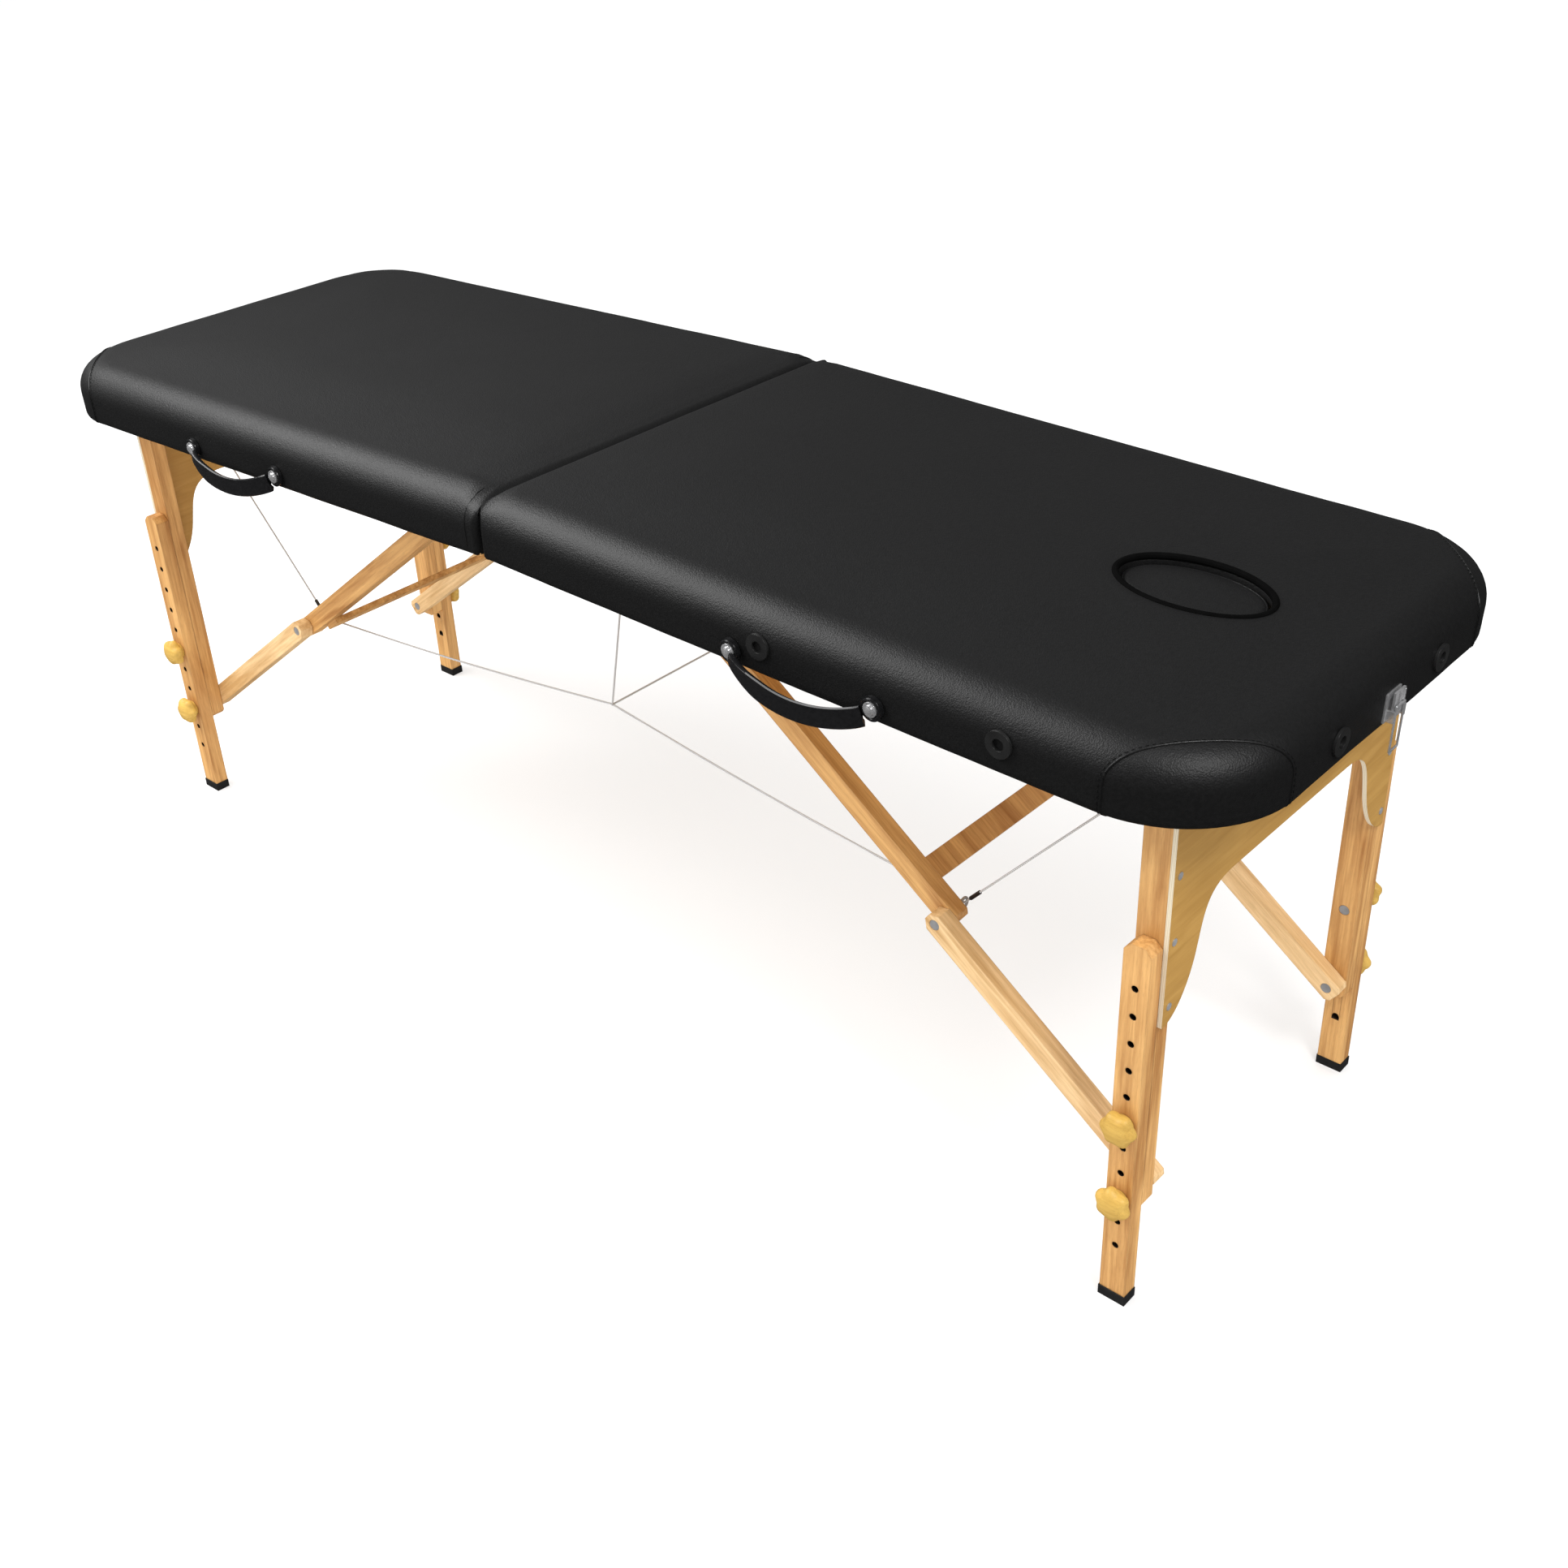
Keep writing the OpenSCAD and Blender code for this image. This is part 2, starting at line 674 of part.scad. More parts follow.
module foot_hinge_leaves() hinge_leaves(FOOT);
module foot_leg_brackets() leg_brackets(FOOT);
module foot_upper_legs() upper_legs(FOOT);
module foot_end_panel() end_panel(FOOT);
module foot_leg_fasteners() leg_fasteners(FOOT);
module foot_near_extension() extension(FOOT, NEAR);
module foot_far_extension() extension(FOOT, FAR);
module foot_near_foot() rubber_foot(FOOT, NEAR);
module foot_far_foot() rubber_foot(FOOT, FAR);
module foot_near_upper_knob() knob(FOOT, NEAR, false);
module foot_near_lower_knob() knob(FOOT, NEAR, true);
module foot_far_upper_knob() knob(FOOT, FAR, false);
module foot_far_lower_knob() knob(FOOT, FAR, true);
module foot_upper_braces() upper_braces(FOOT);
module foot_lower_braces() lower_braces(FOOT);
module foot_knee_bolts() knee_bolts(FOOT);
module foot_knee_eyes() knee_eyes(FOOT);
module foot_cables() cables(FOOT);

head_side_rails();
head_cross_rails();
head_deck();
head_pad();
head_plug();
head_sockets();
head_handle();
head_handle_tabs();
head_handle_screws();
head_hinge_leaves();
head_leg_brackets();
head_upper_legs();
head_end_panel();
head_leg_fasteners();
head_near_extension();
head_far_extension();
head_near_foot();
head_far_foot();
head_near_upper_knob();
head_near_lower_knob();
head_far_upper_knob();
head_far_lower_knob();
head_upper_braces();
head_lower_braces();
head_knee_bolts();
head_knee_eyes();
head_cables();
latch_base();
latch_lever();
latch_bail();
hinge_pins();
centre_cables();
foot_side_rails();
foot_cross_rails();
foot_deck();
foot_pad();
latch_keeper();
foot_handle();
foot_handle_tabs();
foot_handle_screws();
foot_hinge_leaves();
foot_leg_brackets();
foot_upper_legs();
foot_end_panel();
foot_leg_fasteners();
foot_near_extension();
foot_far_extension();
foot_near_foot();
foot_far_foot();
foot_near_upper_knob();
foot_near_lower_knob();
foot_far_upper_knob();
foot_far_lower_knob();
foot_upper_braces();
foot_lower_braces();
foot_knee_bolts();
foot_knee_eyes();
foot_cables();
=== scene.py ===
"""Looks of the two-section folding massage table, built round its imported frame.

Metres, origin on the floor under the centre hinge, +X towards the head end, +Y away from the side
with the carrying handles, +Z up. Each half also has its own frame: x outwards from the centre hinge,
y as in the world, z up from the hinge axis and square to the tilted half.
"""

import json
import math

import bpy
from mathutils import Matrix, Vector, noise
from mathutils.bvhtree import BVHTree

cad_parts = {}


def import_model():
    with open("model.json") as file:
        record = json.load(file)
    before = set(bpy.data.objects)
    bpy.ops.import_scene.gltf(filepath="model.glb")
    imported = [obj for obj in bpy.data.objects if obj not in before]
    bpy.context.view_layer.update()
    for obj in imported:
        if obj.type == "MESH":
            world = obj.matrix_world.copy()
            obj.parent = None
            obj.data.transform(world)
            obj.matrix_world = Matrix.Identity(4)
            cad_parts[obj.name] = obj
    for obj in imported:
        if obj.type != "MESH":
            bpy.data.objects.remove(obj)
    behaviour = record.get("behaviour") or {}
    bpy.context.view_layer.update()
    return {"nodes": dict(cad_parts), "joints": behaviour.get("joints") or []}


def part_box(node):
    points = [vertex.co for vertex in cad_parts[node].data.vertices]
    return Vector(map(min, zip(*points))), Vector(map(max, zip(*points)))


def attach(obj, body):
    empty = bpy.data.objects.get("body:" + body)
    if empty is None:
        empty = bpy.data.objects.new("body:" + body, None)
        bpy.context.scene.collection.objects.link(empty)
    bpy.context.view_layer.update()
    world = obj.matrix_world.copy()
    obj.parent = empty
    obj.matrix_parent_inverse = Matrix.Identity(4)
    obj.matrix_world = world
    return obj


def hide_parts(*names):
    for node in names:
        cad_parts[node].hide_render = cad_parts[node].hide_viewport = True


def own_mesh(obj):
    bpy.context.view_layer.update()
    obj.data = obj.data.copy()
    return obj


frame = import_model()
nodes = frame["nodes"]
joints = {joint["name"]: joint for joint in frame["joints"]}

MM = 0.001
HEAD, FOOT = 1, -1
END_NAMES = {HEAD: "head", FOOT: "foot"}
SIDE_NAMES = {-1: "near", 1: "far"}

lift = joints["face_plug_lift"]["axis"]
CAMBER = math.atan2(lift[0], lift[2])
HINGE_Z = joints["centre_fold_a"]["pos_m"][2]


def to_world(end, x, y, z):
    """World place of a point given in the half's own frame."""
    along = x * math.cos(CAMBER) + z * math.sin(CAMBER)
    return Vector((end * along, y, HINGE_Z - x * math.sin(CAMBER) + z * math.cos(CAMBER)))


def local_box(end, node):
    """Lowest and highest corner of a node in the half's own frame."""
    low = Vector((1e9, 1e9, 1e9))
    high = -low
    for vertex in nodes[node].data.vertices:
        across = end * vertex.co.x
        up = vertex.co.z - HINGE_Z
        point = Vector((across * math.cos(CAMBER) - up * math.sin(CAMBER), vertex.co.y,
                        across * math.sin(CAMBER) + up * math.cos(CAMBER)))
        low = Vector(map(min, low, point))
        high = Vector(map(max, high, point))
    return low, high


# ---------- measures taken from the frame ----------

TIMBER_INSET = 4 * MM
CROWN = 4 * MM
side_high = local_box(HEAD, "head_side_rails")[1]
cross_high = local_box(HEAD, "head_cross_rails")[1]
plug_low, plug_high = local_box(HEAD, "head_plug")
HALF_W = side_high.y + TIMBER_INSET
HALF_L = cross_high.x + TIMBER_INSET
CORNER_R = HALF_L - side_high.x
TOP_Z = local_box(HEAD, "head_pad")[1].z - CROWN
EDGE_R = 42 * MM
EDGE_DROP = 38 * MM
FOLD_R = {HEAD: 10 * MM, FOOT: 15 * MM}
FOLD_CORNER_R = 10 * MM
FOLD_CORNER_TOP_R = 26 * MM
FOLD_CORNER_REACH = 14 * MM
FOLD_X = 1 * MM
PLUG_X = (plug_low.x + plug_high.x) / 2
PLUG_A = (plug_high.x - plug_low.x) / 2
PLUG_B = (plug_high.y - plug_low.y) / 2
PLUG_GAP = 3 * MM


# ---------- meshes ----------

def new_object(name, vertices, faces, material, smooth_angle=35):
    """Mesh object with smooth faces and sharp edges above the given angle."""
    mesh = bpy.data.meshes.new(name)
    mesh.from_pydata([tuple(v) for v in vertices], [], faces)
    mesh.update()
    mesh.shade_smooth()
    mesh.set_sharp_from_angle(angle=math.radians(smooth_angle))
    mesh.materials.append(material)
    made = bpy.data.objects.new(name, mesh)
    bpy.context.scene.collection.objects.link(made)
    return made


def loft_faces(ring_count, size, flip):
    """Quads between closed rings of equal size; flip turns the faces over."""
    faces = []
    for k in range(ring_count - 1):
        for i in range(size):
            j = (i + 1) % size
            face = (k * size + i, k * size + j, (k + 1) * size + j, (k + 1) * size + i)
            faces.append(face[::-1] if flip else face)
    return faces


def loft(name, rings, material, flip=False, cap_start=False, cap_end=False, smooth_angle=35):
    """Surface through closed rings of equal size, with optional caps."""
    size = len(rings[0])
    vertices = [point for ring in rings for point in ring]
    faces = loft_faces(len(rings), size, flip)
    start = tuple(range(size))
    last = (len(rings) - 1) * size
    end = tuple(range(last, last + size))
    if cap_start:
        faces.append(start if flip else start[::-1])
    if cap_end:
        faces.append(end[::-1] if flip else end)
    return new_object(name, vertices, faces, material, smooth_angle)


def sweep_rings(points, section, up):
    """Rings of a section carried along points; section(share) gives (across, up) pairs."""
    rings = []
    for i, point in enumerate(points):
        ahead = points[min(i + 1, len(points) - 1)] - points[max(i - 1, 0)]
        ahead = ahead.normalized()
        across = ahead.cross(up).normalized()
        square_up = across.cross(ahead)
        share = i / (len(points) - 1)
        rings.append([point + across * a + square_up * b for a, b in section(share)])
    return rings


CORD_SIDES = 10


def circle_section(radius):
    """Round section for sweep_rings."""
    ring = [(radius * math.cos(t * math.tau / CORD_SIDES), radius * math.sin(t * math.tau / CORD_SIDES))
            for t in range(CORD_SIDES)]
    return lambda share: ring


def tube(name, points, radius, material, up=Vector((0, 0, 1))):
    """Round cord along points with flat ends."""
    rings = sweep_rings(points, circle_section(radius), up)
    return loft(name, rings, material, cap_start=True, cap_end=True)


def join(name, pieces):
    """One object made of several."""
    bpy.ops.object.select_all(action="DESELECT")
    for piece in pieces:
        piece.select_set(True)
    bpy.context.view_layer.objects.active = pieces[0]
    bpy.ops.object.join()
    pieces[0].name = name
    pieces[0].data.name = name
    return pieces[0]


def resample(points, step):
    """Points spaced evenly along a polyline."""
    lengths = [0.0]
    for a, b in zip(points, points[1:]):
        lengths.append(lengths[-1] + (b - a).length)
    count = max(2, round(lengths[-1] / step) + 1)
    out = []
    k = 0
    for i in range(count):
        target = lengths[-1] * i / (count - 1)
        while k < len(points) - 2 and lengths[k + 1] < target:
            k += 1
        span = max(lengths[k + 1] - lengths[k], 1e-9)
        out.append(points[k].lerp(points[k + 1], (target - lengths[k]) / span))
    return out


def bezier(a, b, c, d, count):
    """Points of a cubic curve, without its last one."""
    out = []
    for i in range(count):
        t = i / count
        s = 1 - t
        out.append(a * s ** 3 + b * 3 * s * s * t + c * 3 * s * t * t + d * t ** 3)
    return out


def smooth(t):
    """Smooth step from 0 to 1."""
    t = min(1.0, max(0.0, t))
    return t * t * (3 - 2 * t)


# ---------- materials ----------

class Nodes:
    """Short way to build a node material."""

    def __init__(self, name):
        self.material = bpy.data.materials.new(name)
        self.material.use_nodes = True
        self.tree = self.material.node_tree
        self.shader = self.tree.nodes["Principled BSDF"]

    def add(self, kind, inputs=None, **settings):
        """A node with its settings and its input values or links."""
        made = self.tree.nodes.new(kind)
        for key, value in settings.items():
            setattr(made, key, value)
        for key, value in (inputs or {}).items():
            self.feed(made.inputs[key], value)
        return made

    def feed(self, socket, value):
        """Gives an input a value, or links it to another node's output."""
        if isinstance(value, bpy.types.NodeSocket):
            self.tree.links.new(value, socket)
        else:
            socket.default_value = value

    def math(self, operation, a, b=0.0):
        return self.add("ShaderNodeMath", {0: a, 1: b}, operation=operation).outputs[0]

    def place(self, scale=(1, 1, 1), turn=(0, 0, 0)):
        """Object coordinates turned, then scaled."""
        coordinates = self.add("ShaderNodeTexCoord").outputs["Object"]
        turned = self.add("ShaderNodeMapping", {"Vector": coordinates, "Rotation": turn})
        return self.add("ShaderNodeMapping", {"Vector": turned.outputs[0], "Scale": scale}).outputs[0]

    def noise(self, vector, scale=1.0, detail=3.0, distortion=0.0):
        made = self.add("ShaderNodeTexNoise", {"Vector": vector, "Scale": scale, "Detail": detail,
                                               "Distortion": distortion})
        return made.outputs["Fac"]

    def ramp(self, value, stops):
        """Colour or grey ramp from (position, colour) stops."""
        made = self.add("ShaderNodeValToRGB", {"Fac": value})
        elements = made.color_ramp.elements
        while len(elements) < len(stops):
            elements.new(0.5)
        for element, (position, colour) in zip(elements, stops):
            element.position = position
            element.color = colour if len(colour) == 4 else (*colour, 1)
        return made.outputs["Color"]

    def mix(self, share, a, b, blend="MIX"):
        made = self.add("ShaderNodeMix", data_type="RGBA", blend_type=blend)
        self.feed(made.inputs[0], share)
        self.feed(made.inputs[6], a if isinstance(a, bpy.types.NodeSocket) else (*a, 1))
        self.feed(made.inputs[7], b if isinstance(b, bpy.types.NodeSocket) else (*b, 1))
        return made.outputs[2]

    def bump(self, height, distance, strength=1.0, edge=0.0):
        """Surface relief; edge rounds the look of sharp edges by that radius."""
        inputs = {"Height": height, "Distance": distance, "Strength": strength}
        if edge:
            inputs["Normal"] = self.add("ShaderNodeBevel", {"Radius": edge}, samples=4).outputs[0]
        return self.add("ShaderNodeBump", inputs).outputs[0]

    def set(self, **values):
        """Shader inputs by name, with underscores for spaces."""
        for key, value in values.items():
            if isinstance(value, tuple) and len(value) == 3 and key == "Base_Color":
                value = (*value, 1)
            self.feed(self.shader.inputs[key.replace("_", " ")], value)
        return self.material


COVER_BLACK = (0.0038, 0.0038, 0.0039)
# Painted shade of the legs' height holes: its radius and its dark brown colour.
HOLE_SHADE_R = 4.7 * MM
HOLE_PAINTED_SHADE = (0.016, 0.009, 0.004)


def grey(value):
    return (value, value, value)


def wood(name, light, dark, turn, hole=None, edge=2.0 * MM, wrapped_y=None):
    """Lacquered timber with its grain along X after turning; with painted shade, dark brown, inside a column
    of holes if given.

    A column of holes is (middle x, outermost |y|, lowest z, highest z). Timber further from the middle
    than wrapped_y is under the turned edge of the cover.
    """
    n = Nodes(name)
    figure = n.noise(n.place((5, 30, 30), turn), detail=4, distortion=1.2)
    streak = n.noise(n.place((9, 260, 260), turn), detail=5, distortion=0.4)
    pores = n.noise(n.place((90, 1700, 1700), turn), detail=2)
    tone = n.ramp(n.math("ADD", n.math("MULTIPLY", figure, 0.6), n.math("MULTIPLY", streak, 0.4)),
                  [(0.38, light), (0.64, dark)])
    pore_tone = n.ramp(pores, [(0.30, grey(0.80)), (0.48, grey(1.0))])
    colour = n.mix(0.7, tone, pore_tone, "MULTIPLY")
    wear = n.noise(n.place((8, 8, 8)), detail=2)
    colour = n.mix(0.35, colour, n.ramp(wear, [(0.35, grey(0.86)), (0.65, grey(1.0))]), "MULTIPLY")
    if hole is not None:
        where = n.add("ShaderNodeSeparateXYZ", {0: n.place()})
        off = n.math("ABSOLUTE", n.math("SUBTRACT", where.outputs[0], hole[0]))
        in_x = n.math("LESS_THAN", off, HOLE_SHADE_R)
        in_y = n.math("LESS_THAN", n.math("ABSOLUTE", where.outputs[1]), hole[1])
        above = n.math("GREATER_THAN", where.outputs[2], hole[2])
        below = n.math("LESS_THAN", where.outputs[2], hole[3])
        inside = n.math("MULTIPLY", n.math("MULTIPLY", in_x, in_y), n.math("MULTIPLY", above, below))
        # painted shade: the timber inside the holes is coloured dark brown
        colour = n.mix(inside, colour, HOLE_PAINTED_SHADE)
    if wrapped_y is not None:
        across = n.add("ShaderNodeSeparateXYZ", {0: n.place()}).outputs[1]
        wrapped = n.math("GREATER_THAN", n.math("ABSOLUTE", across), wrapped_y)
        colour = n.mix(wrapped, colour, COVER_BLACK)
    rough = n.add("ShaderNodeMapRange", {"Value": streak, "To Min": 0.34, "To Max": 0.52}).outputs[0]
    relief = n.math("ADD", n.math("MULTIPLY", streak, 0.6), n.math("MULTIPLY", pores, 0.4))
    return n.set(Base_Color=colour, Roughness=rough, Specular_IOR_Level=0.35,
                 Normal=n.bump(relief, 0.25 * MM, 0.5, edge))


def plywood(name, face, face_dark, layer, layer_dark, plies):
    """Plywood panel square to X: grained faces and a pale edge with fine plies."""
    n = Nodes(name)
    turn = (0, 0, math.pi / 2)
    figure = n.noise(n.place((7, 42, 42), turn), detail=5, distortion=1.6)
    streak = n.noise(n.place((12, 300, 300), turn), detail=3)
    tone = n.ramp(n.math("ADD", n.math("MULTIPLY", figure, 0.65), n.math("MULTIPLY", streak, 0.35)),
                  [(0.36, face), (0.68, face_dark)])
    where = n.add("ShaderNodeSeparateXYZ", {0: n.place()})
    bands = n.math("FRACT", n.math("MULTIPLY", where.outputs[0], plies))
    edge_tone = n.ramp(bands, [(0.0, layer), (0.55, layer), (0.62, layer_dark), (0.96, layer_dark)])
    normal = n.add("ShaderNodeSeparateXYZ", {0: n.add("ShaderNodeTexCoord").outputs["Normal"]})
    is_face = n.math("GREATER_THAN", n.math("ABSOLUTE", normal.outputs[0]), 0.6)
    colour = n.mix(is_face, edge_tone, tone)
    return n.set(Base_Color=colour, Roughness=0.42, Specular_IOR_Level=0.35,
                 Normal=n.bump(streak, 0.2 * MM, 0.4, 0.8 * MM))


def leather(name, base, gloss, grain=0.35):
    """Soft artificial leather with a fine pebbled grain and slow changes of sheen."""
    n = Nodes(name)
    pebble = n.add("ShaderNodeTexVoronoi", {"Vector": n.place(), "Scale": 620.0}).outputs["Distance"]
    fine = n.noise(n.place(), 1500.0, 2)
    slow = n.noise(n.place(), 7.0, 3)
    mottle = n.noise(n.place(), 260.0, 3)
    relief = n.math("ADD", n.math("MULTIPLY", pebble, 0.7), n.math("MULTIPLY", fine, 0.3))
    relief = n.math("ADD", relief, n.math("MULTIPLY", mottle, 0.8))
    colour = n.ramp(mottle, [(0.35, tuple(c * 0.8 for c in base)), (0.65, tuple(c * 1.25 for c in base))])
    rough = n.add("ShaderNodeMapRange", {"Value": slow, "To Min": gloss - 0.04, "To Max": gloss + 0.05})
    return n.set(Base_Color=colour, Roughness=rough.outputs[0], Specular_IOR_Level=0.4,
                 Normal=n.bump(relief, 0.4 * MM, grain))


def metal(name, base, rough, shine=1.0, edge=0.5 * MM):
    """Plated steel with faint brushing and spots of duller plating."""
    n = Nodes(name)
    scratch = n.noise(n.place((1, 1, 0.2)), 700.0, 3)
    dull = n.noise(n.place(), 90.0, 3)
    tone = n.ramp(dull, [(0.35, tuple(c * 0.82 for c in base)), (0.6, base)])
    spread = n.add("ShaderNodeMapRange", {"Value": dull, "To Min": rough * 0.8, "To Max": rough * 1.5})
    return n.set(Base_Color=tone, Metallic=shine, Roughness=spread.outputs[0],
                 Normal=n.bump(scratch, 0.08 * MM, 0.4, edge))


def cable_steel(name):
    """Twisted wire, paler than plain steel under its clear sleeve."""
    n = Nodes(name)
    twist = n.add("ShaderNodeTexWave", {"Vector": n.place(turn=(0.6, 0.7, 0)), "Scale": 420.0},
                  wave_type="BANDS", bands_direction="DIAGONAL").outputs["Fac"]
    tone = n.ramp(twist, [(0.2, grey(0.42)), (0.7, grey(0.70))])
    return n.set(Base_Color=tone, Metallic=0.1, Roughness=0.45, Normal=n.bump(twist, 0.3 * MM, 0.6))


def plastic(name, base, rough, edge=0.8 * MM, shine=0.5):
    """Moulded plastic or rubber with a fine texture."""
    n = Nodes(name)
    grain = n.noise(n.place(), 900.0, 3)
    cloudy = n.noise(n.place(), 60.0, 2)
    tone = n.ramp(cloudy, [(0.3, tuple(c * 0.75 for c in base)), (0.7, tuple(c * 1.3 for c in base))])
    return n.set(Base_Color=tone, Roughness=rough, Specular_IOR_Level=shine,
                 Normal=n.bump(grain, 0.15 * MM, 0.4, edge))


BEECH_LIGHT = (0.74, 0.42, 0.15)
BEECH_DARK = (0.40, 0.175, 0.046)
PALE_LIGHT = (0.84, 0.58, 0.30)
PALE_DARK = (0.56, 0.32, 0.12)
upper_pivot = joints["upper_brace_turn_head"]["pos_m"]
lower_pivot = joints["lower_brace_turn_head"]["pos_m"]
slope = math.atan2(upper_pivot[2] - lower_pivot[2], lower_pivot[0] - upper_pivot[0])
ALONG_X = (0, 0, 0)
ALONG_Y = (0, 0, math.pi / 2)
ALONG_Z = (0, math.pi / 2, 0)
ALONG_BRACE = {HEAD: (0, -slope, 0), FOOT: (0, slope, 0)}

rail_wood = wood("rail_beech", BEECH_LIGHT, BEECH_DARK, ALONG_X)
cross_wood = wood("cross_beech", BEECH_LIGHT, BEECH_DARK, ALONG_Y)
leg_wood = wood("leg_beech", BEECH_LIGHT, BEECH_DARK, ALONG_Z)
brace_wood = {end: wood("brace_beech_" + END_NAMES[end], BEECH_LIGHT, BEECH_DARK, ALONG_BRACE[end])
              for end in (HEAD, FOOT)}
pale_brace_wood = {end: wood("pale_brace_beech_" + END_NAMES[end], PALE_LIGHT, PALE_DARK, ALONG_BRACE[end])
                   for end in (HEAD, FOOT)}
COVER_WRAP = 30 * MM

panel_ply = plywood("panel_ply", (0.47, 0.265, 0.066), (0.37, 0.195, 0.040),
                    (0.74, 0.66, 0.50), (0.56, 0.47, 0.33), 650)
deck_ply = wood("deck_ply", (0.62, 0.40, 0.15), (0.46, 0.27, 0.085), ALONG_X, wrapped_y=HALF_W - COVER_WRAP)
knob_wood = wood("knob_wood", (0.66, 0.42, 0.095), (0.48, 0.28, 0.05), ALONG_X, edge=1.5 * MM)
black_leather = leather("black_leather", COVER_BLACK, 0.50, 0.8)
strap_leather = leather("strap_leather", (0.006, 0.006, 0.0065), 0.22, 0.2)
seam_thread = leather("seam_thread", (0.002, 0.002, 0.002), 0.7)
piping = leather("seam_fold", COVER_BLACK, 0.4)
# Near-black with almost no sheen: painted shade of the gap round the face plug, used on the rolled lip of the
# face hole.
hole_lip_gap_shade = plastic("hole_lip_gap_shade", (0.0015, 0.0015, 0.0015), 0.9, shine=0.04)
chrome = metal("chrome", (0.80, 0.80, 0.81), 0.16, 0.82)
zinc = metal("zinc", (0.56, 0.56, 0.57), 0.34, 0.6)
dark_steel = metal("dark_steel", (0.10, 0.10, 0.11), 0.4)
wire = cable_steel("cable")
black_plastic = plastic("black_plastic", (0.010, 0.010, 0.010), 0.34)
rubber = plastic("rubber", (0.010, 0.010, 0.010), 0.75, 2 * MM)


HOLES_BETWEEN_KNOBS = 3
LOWEST_KNOB_HOLE = 2
PLAIN_TOP = 30 * MM
OUTER_SKIN = 0.4 * MM


def height_holes(leg):
    """Middle x, lowest z and spacing of the height holes of a leg."""
    low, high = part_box(leg + "_extension")
    lower_low, lower_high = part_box(leg + "_lower_knob")
    upper_low, upper_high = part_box(leg + "_upper_knob")
    pitch = (upper_low.z - lower_low.z) / HOLES_BETWEEN_KNOBS
    return (low.x + high.x) / 2, (lower_low.z + lower_high.z) / 2 - LOWEST_KNOB_HOLE * pitch, pitch


def extension_wood(end):
    """Leg timber with painted shade, dark brown, inside its height holes."""
    low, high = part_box(END_NAMES[end] + "_near_extension")
    middle, first, pitch = height_holes(END_NAMES[end] + "_near")
    return wood("extension_beech_hole_shade_" + END_NAMES[end], BEECH_LIGHT, BEECH_DARK, ALONG_Z,
                (middle, abs(low.y) - OUTER_SKIN, first - HOLE_SHADE_R, high.z - PLAIN_TOP), 3 * MM)


def paint(node, material):
    """The only material of a frame node."""
    nodes[node].data.materials.clear()
    nodes[node].data.materials.append(material)


def paint_frame():
    """Materials of every frame node that stays visible."""
    for end, name in END_NAMES.items():
        bored = extension_wood(end)
        plan = {
            "side_rails": rail_wood, "cross_rails": cross_wood, "deck": deck_ply, "pad": black_leather,
            "handle": strap_leather, "handle_tabs": strap_leather, "handle_screws": chrome,
            "hinge_leaves": zinc, "leg_brackets": zinc, "upper_legs": leg_wood, "end_panel": panel_ply,
            "leg_fasteners": zinc, "near_extension": bored, "far_extension": bored,
            "near_foot": rubber, "far_foot": rubber, "near_upper_knob": knob_wood,
            "near_lower_knob": knob_wood, "far_upper_knob": knob_wood, "far_lower_knob": knob_wood,
            "upper_braces": brace_wood[end], "lower_braces": pale_brace_wood[end], "knee_bolts": zinc,
            "knee_eyes": zinc, "cables": wire}
        for part, material in plan.items():
            paint(name + "_" + part, material)
    others = {"head_plug": black_leather, "head_sockets": black_plastic, "latch_base": chrome,
              "latch_lever": chrome, "latch_bail": chrome, "latch_keeper": chrome, "hinge_pins": zinc,
              "centre_cables": wire}
    for node, material in others.items():
        paint(node, material)


# ---------- covers ----------

LONG_STEPS, CORNER_STEPS, END_STEPS, FOLD_CORNER_STEPS, FOLD_STEPS = 70, 18, 30, 8, 44
ARC_STEPS = 10
INWARD_STEPS = 18
COVER_T = 1.2 * MM
LIP_R = 6 * MM
LIP_STEPS = 6
HOLE_WALL = 18 * MM
TOP_RINGS = (5, 12, 21, 32, 45)
MIDDLE_SHARE = 0.05


def plan_outline(side, fold):
    """Plan points of a half with a weight of 1 at the fold and 0 elsewhere, set in by side and by fold."""
    w = HALF_W - side
    l = HALF_L - side
    r = CORNER_R - side
    fold_r = FOLD_CORNER_R + (FOLD_CORNER_TOP_R - FOLD_CORNER_R) * smooth(side / FOLD_CORNER_REACH)
    near_x = fold + fold_r
    out = []
    for i in range(LONG_STEPS):
        out.append((near_x + (l - r - near_x) * i / LONG_STEPS, -w, 0.0))
    for i in range(CORNER_STEPS):
        a = math.pi / 2 * (i / CORNER_STEPS - 1)
        out.append((l - r + r * math.cos(a), -w + r + r * math.sin(a), 0.0))
    for i in range(END_STEPS):
        out.append((l, (-w + r) + 2 * (w - r) * i / END_STEPS, 0.0))
    for i in range(CORNER_STEPS):
        a = math.pi / 2 * i / CORNER_STEPS
        out.append((l - r + r * math.cos(a), w - r + r * math.sin(a), 0.0))
    for i in range(LONG_STEPS):
        out.append((l - r + (near_x - l + r) * i / LONG_STEPS, w, 0.0))
    for i in range(FOLD_CORNER_STEPS):
        t = i / FOLD_CORNER_STEPS
        a = math.pi / 2 * (1 + t)
        out.append((near_x + fold_r * math.cos(a), w - fold_r + fold_r * math.sin(a), smooth(t)))
    for i in range(FOLD_STEPS):
        out.append((fold, (w - fold_r) * (1 - 2 * i / FOLD_STEPS), 1.0))
    for i in range(FOLD_CORNER_STEPS):
        t = i / FOLD_CORNER_STEPS
        a = math.pi + math.pi / 2 * t
        out.append((near_x + fold_r * math.cos(a), -w + fold_r + fold_r * math.sin(a), 1 - smooth(t)))
    return out


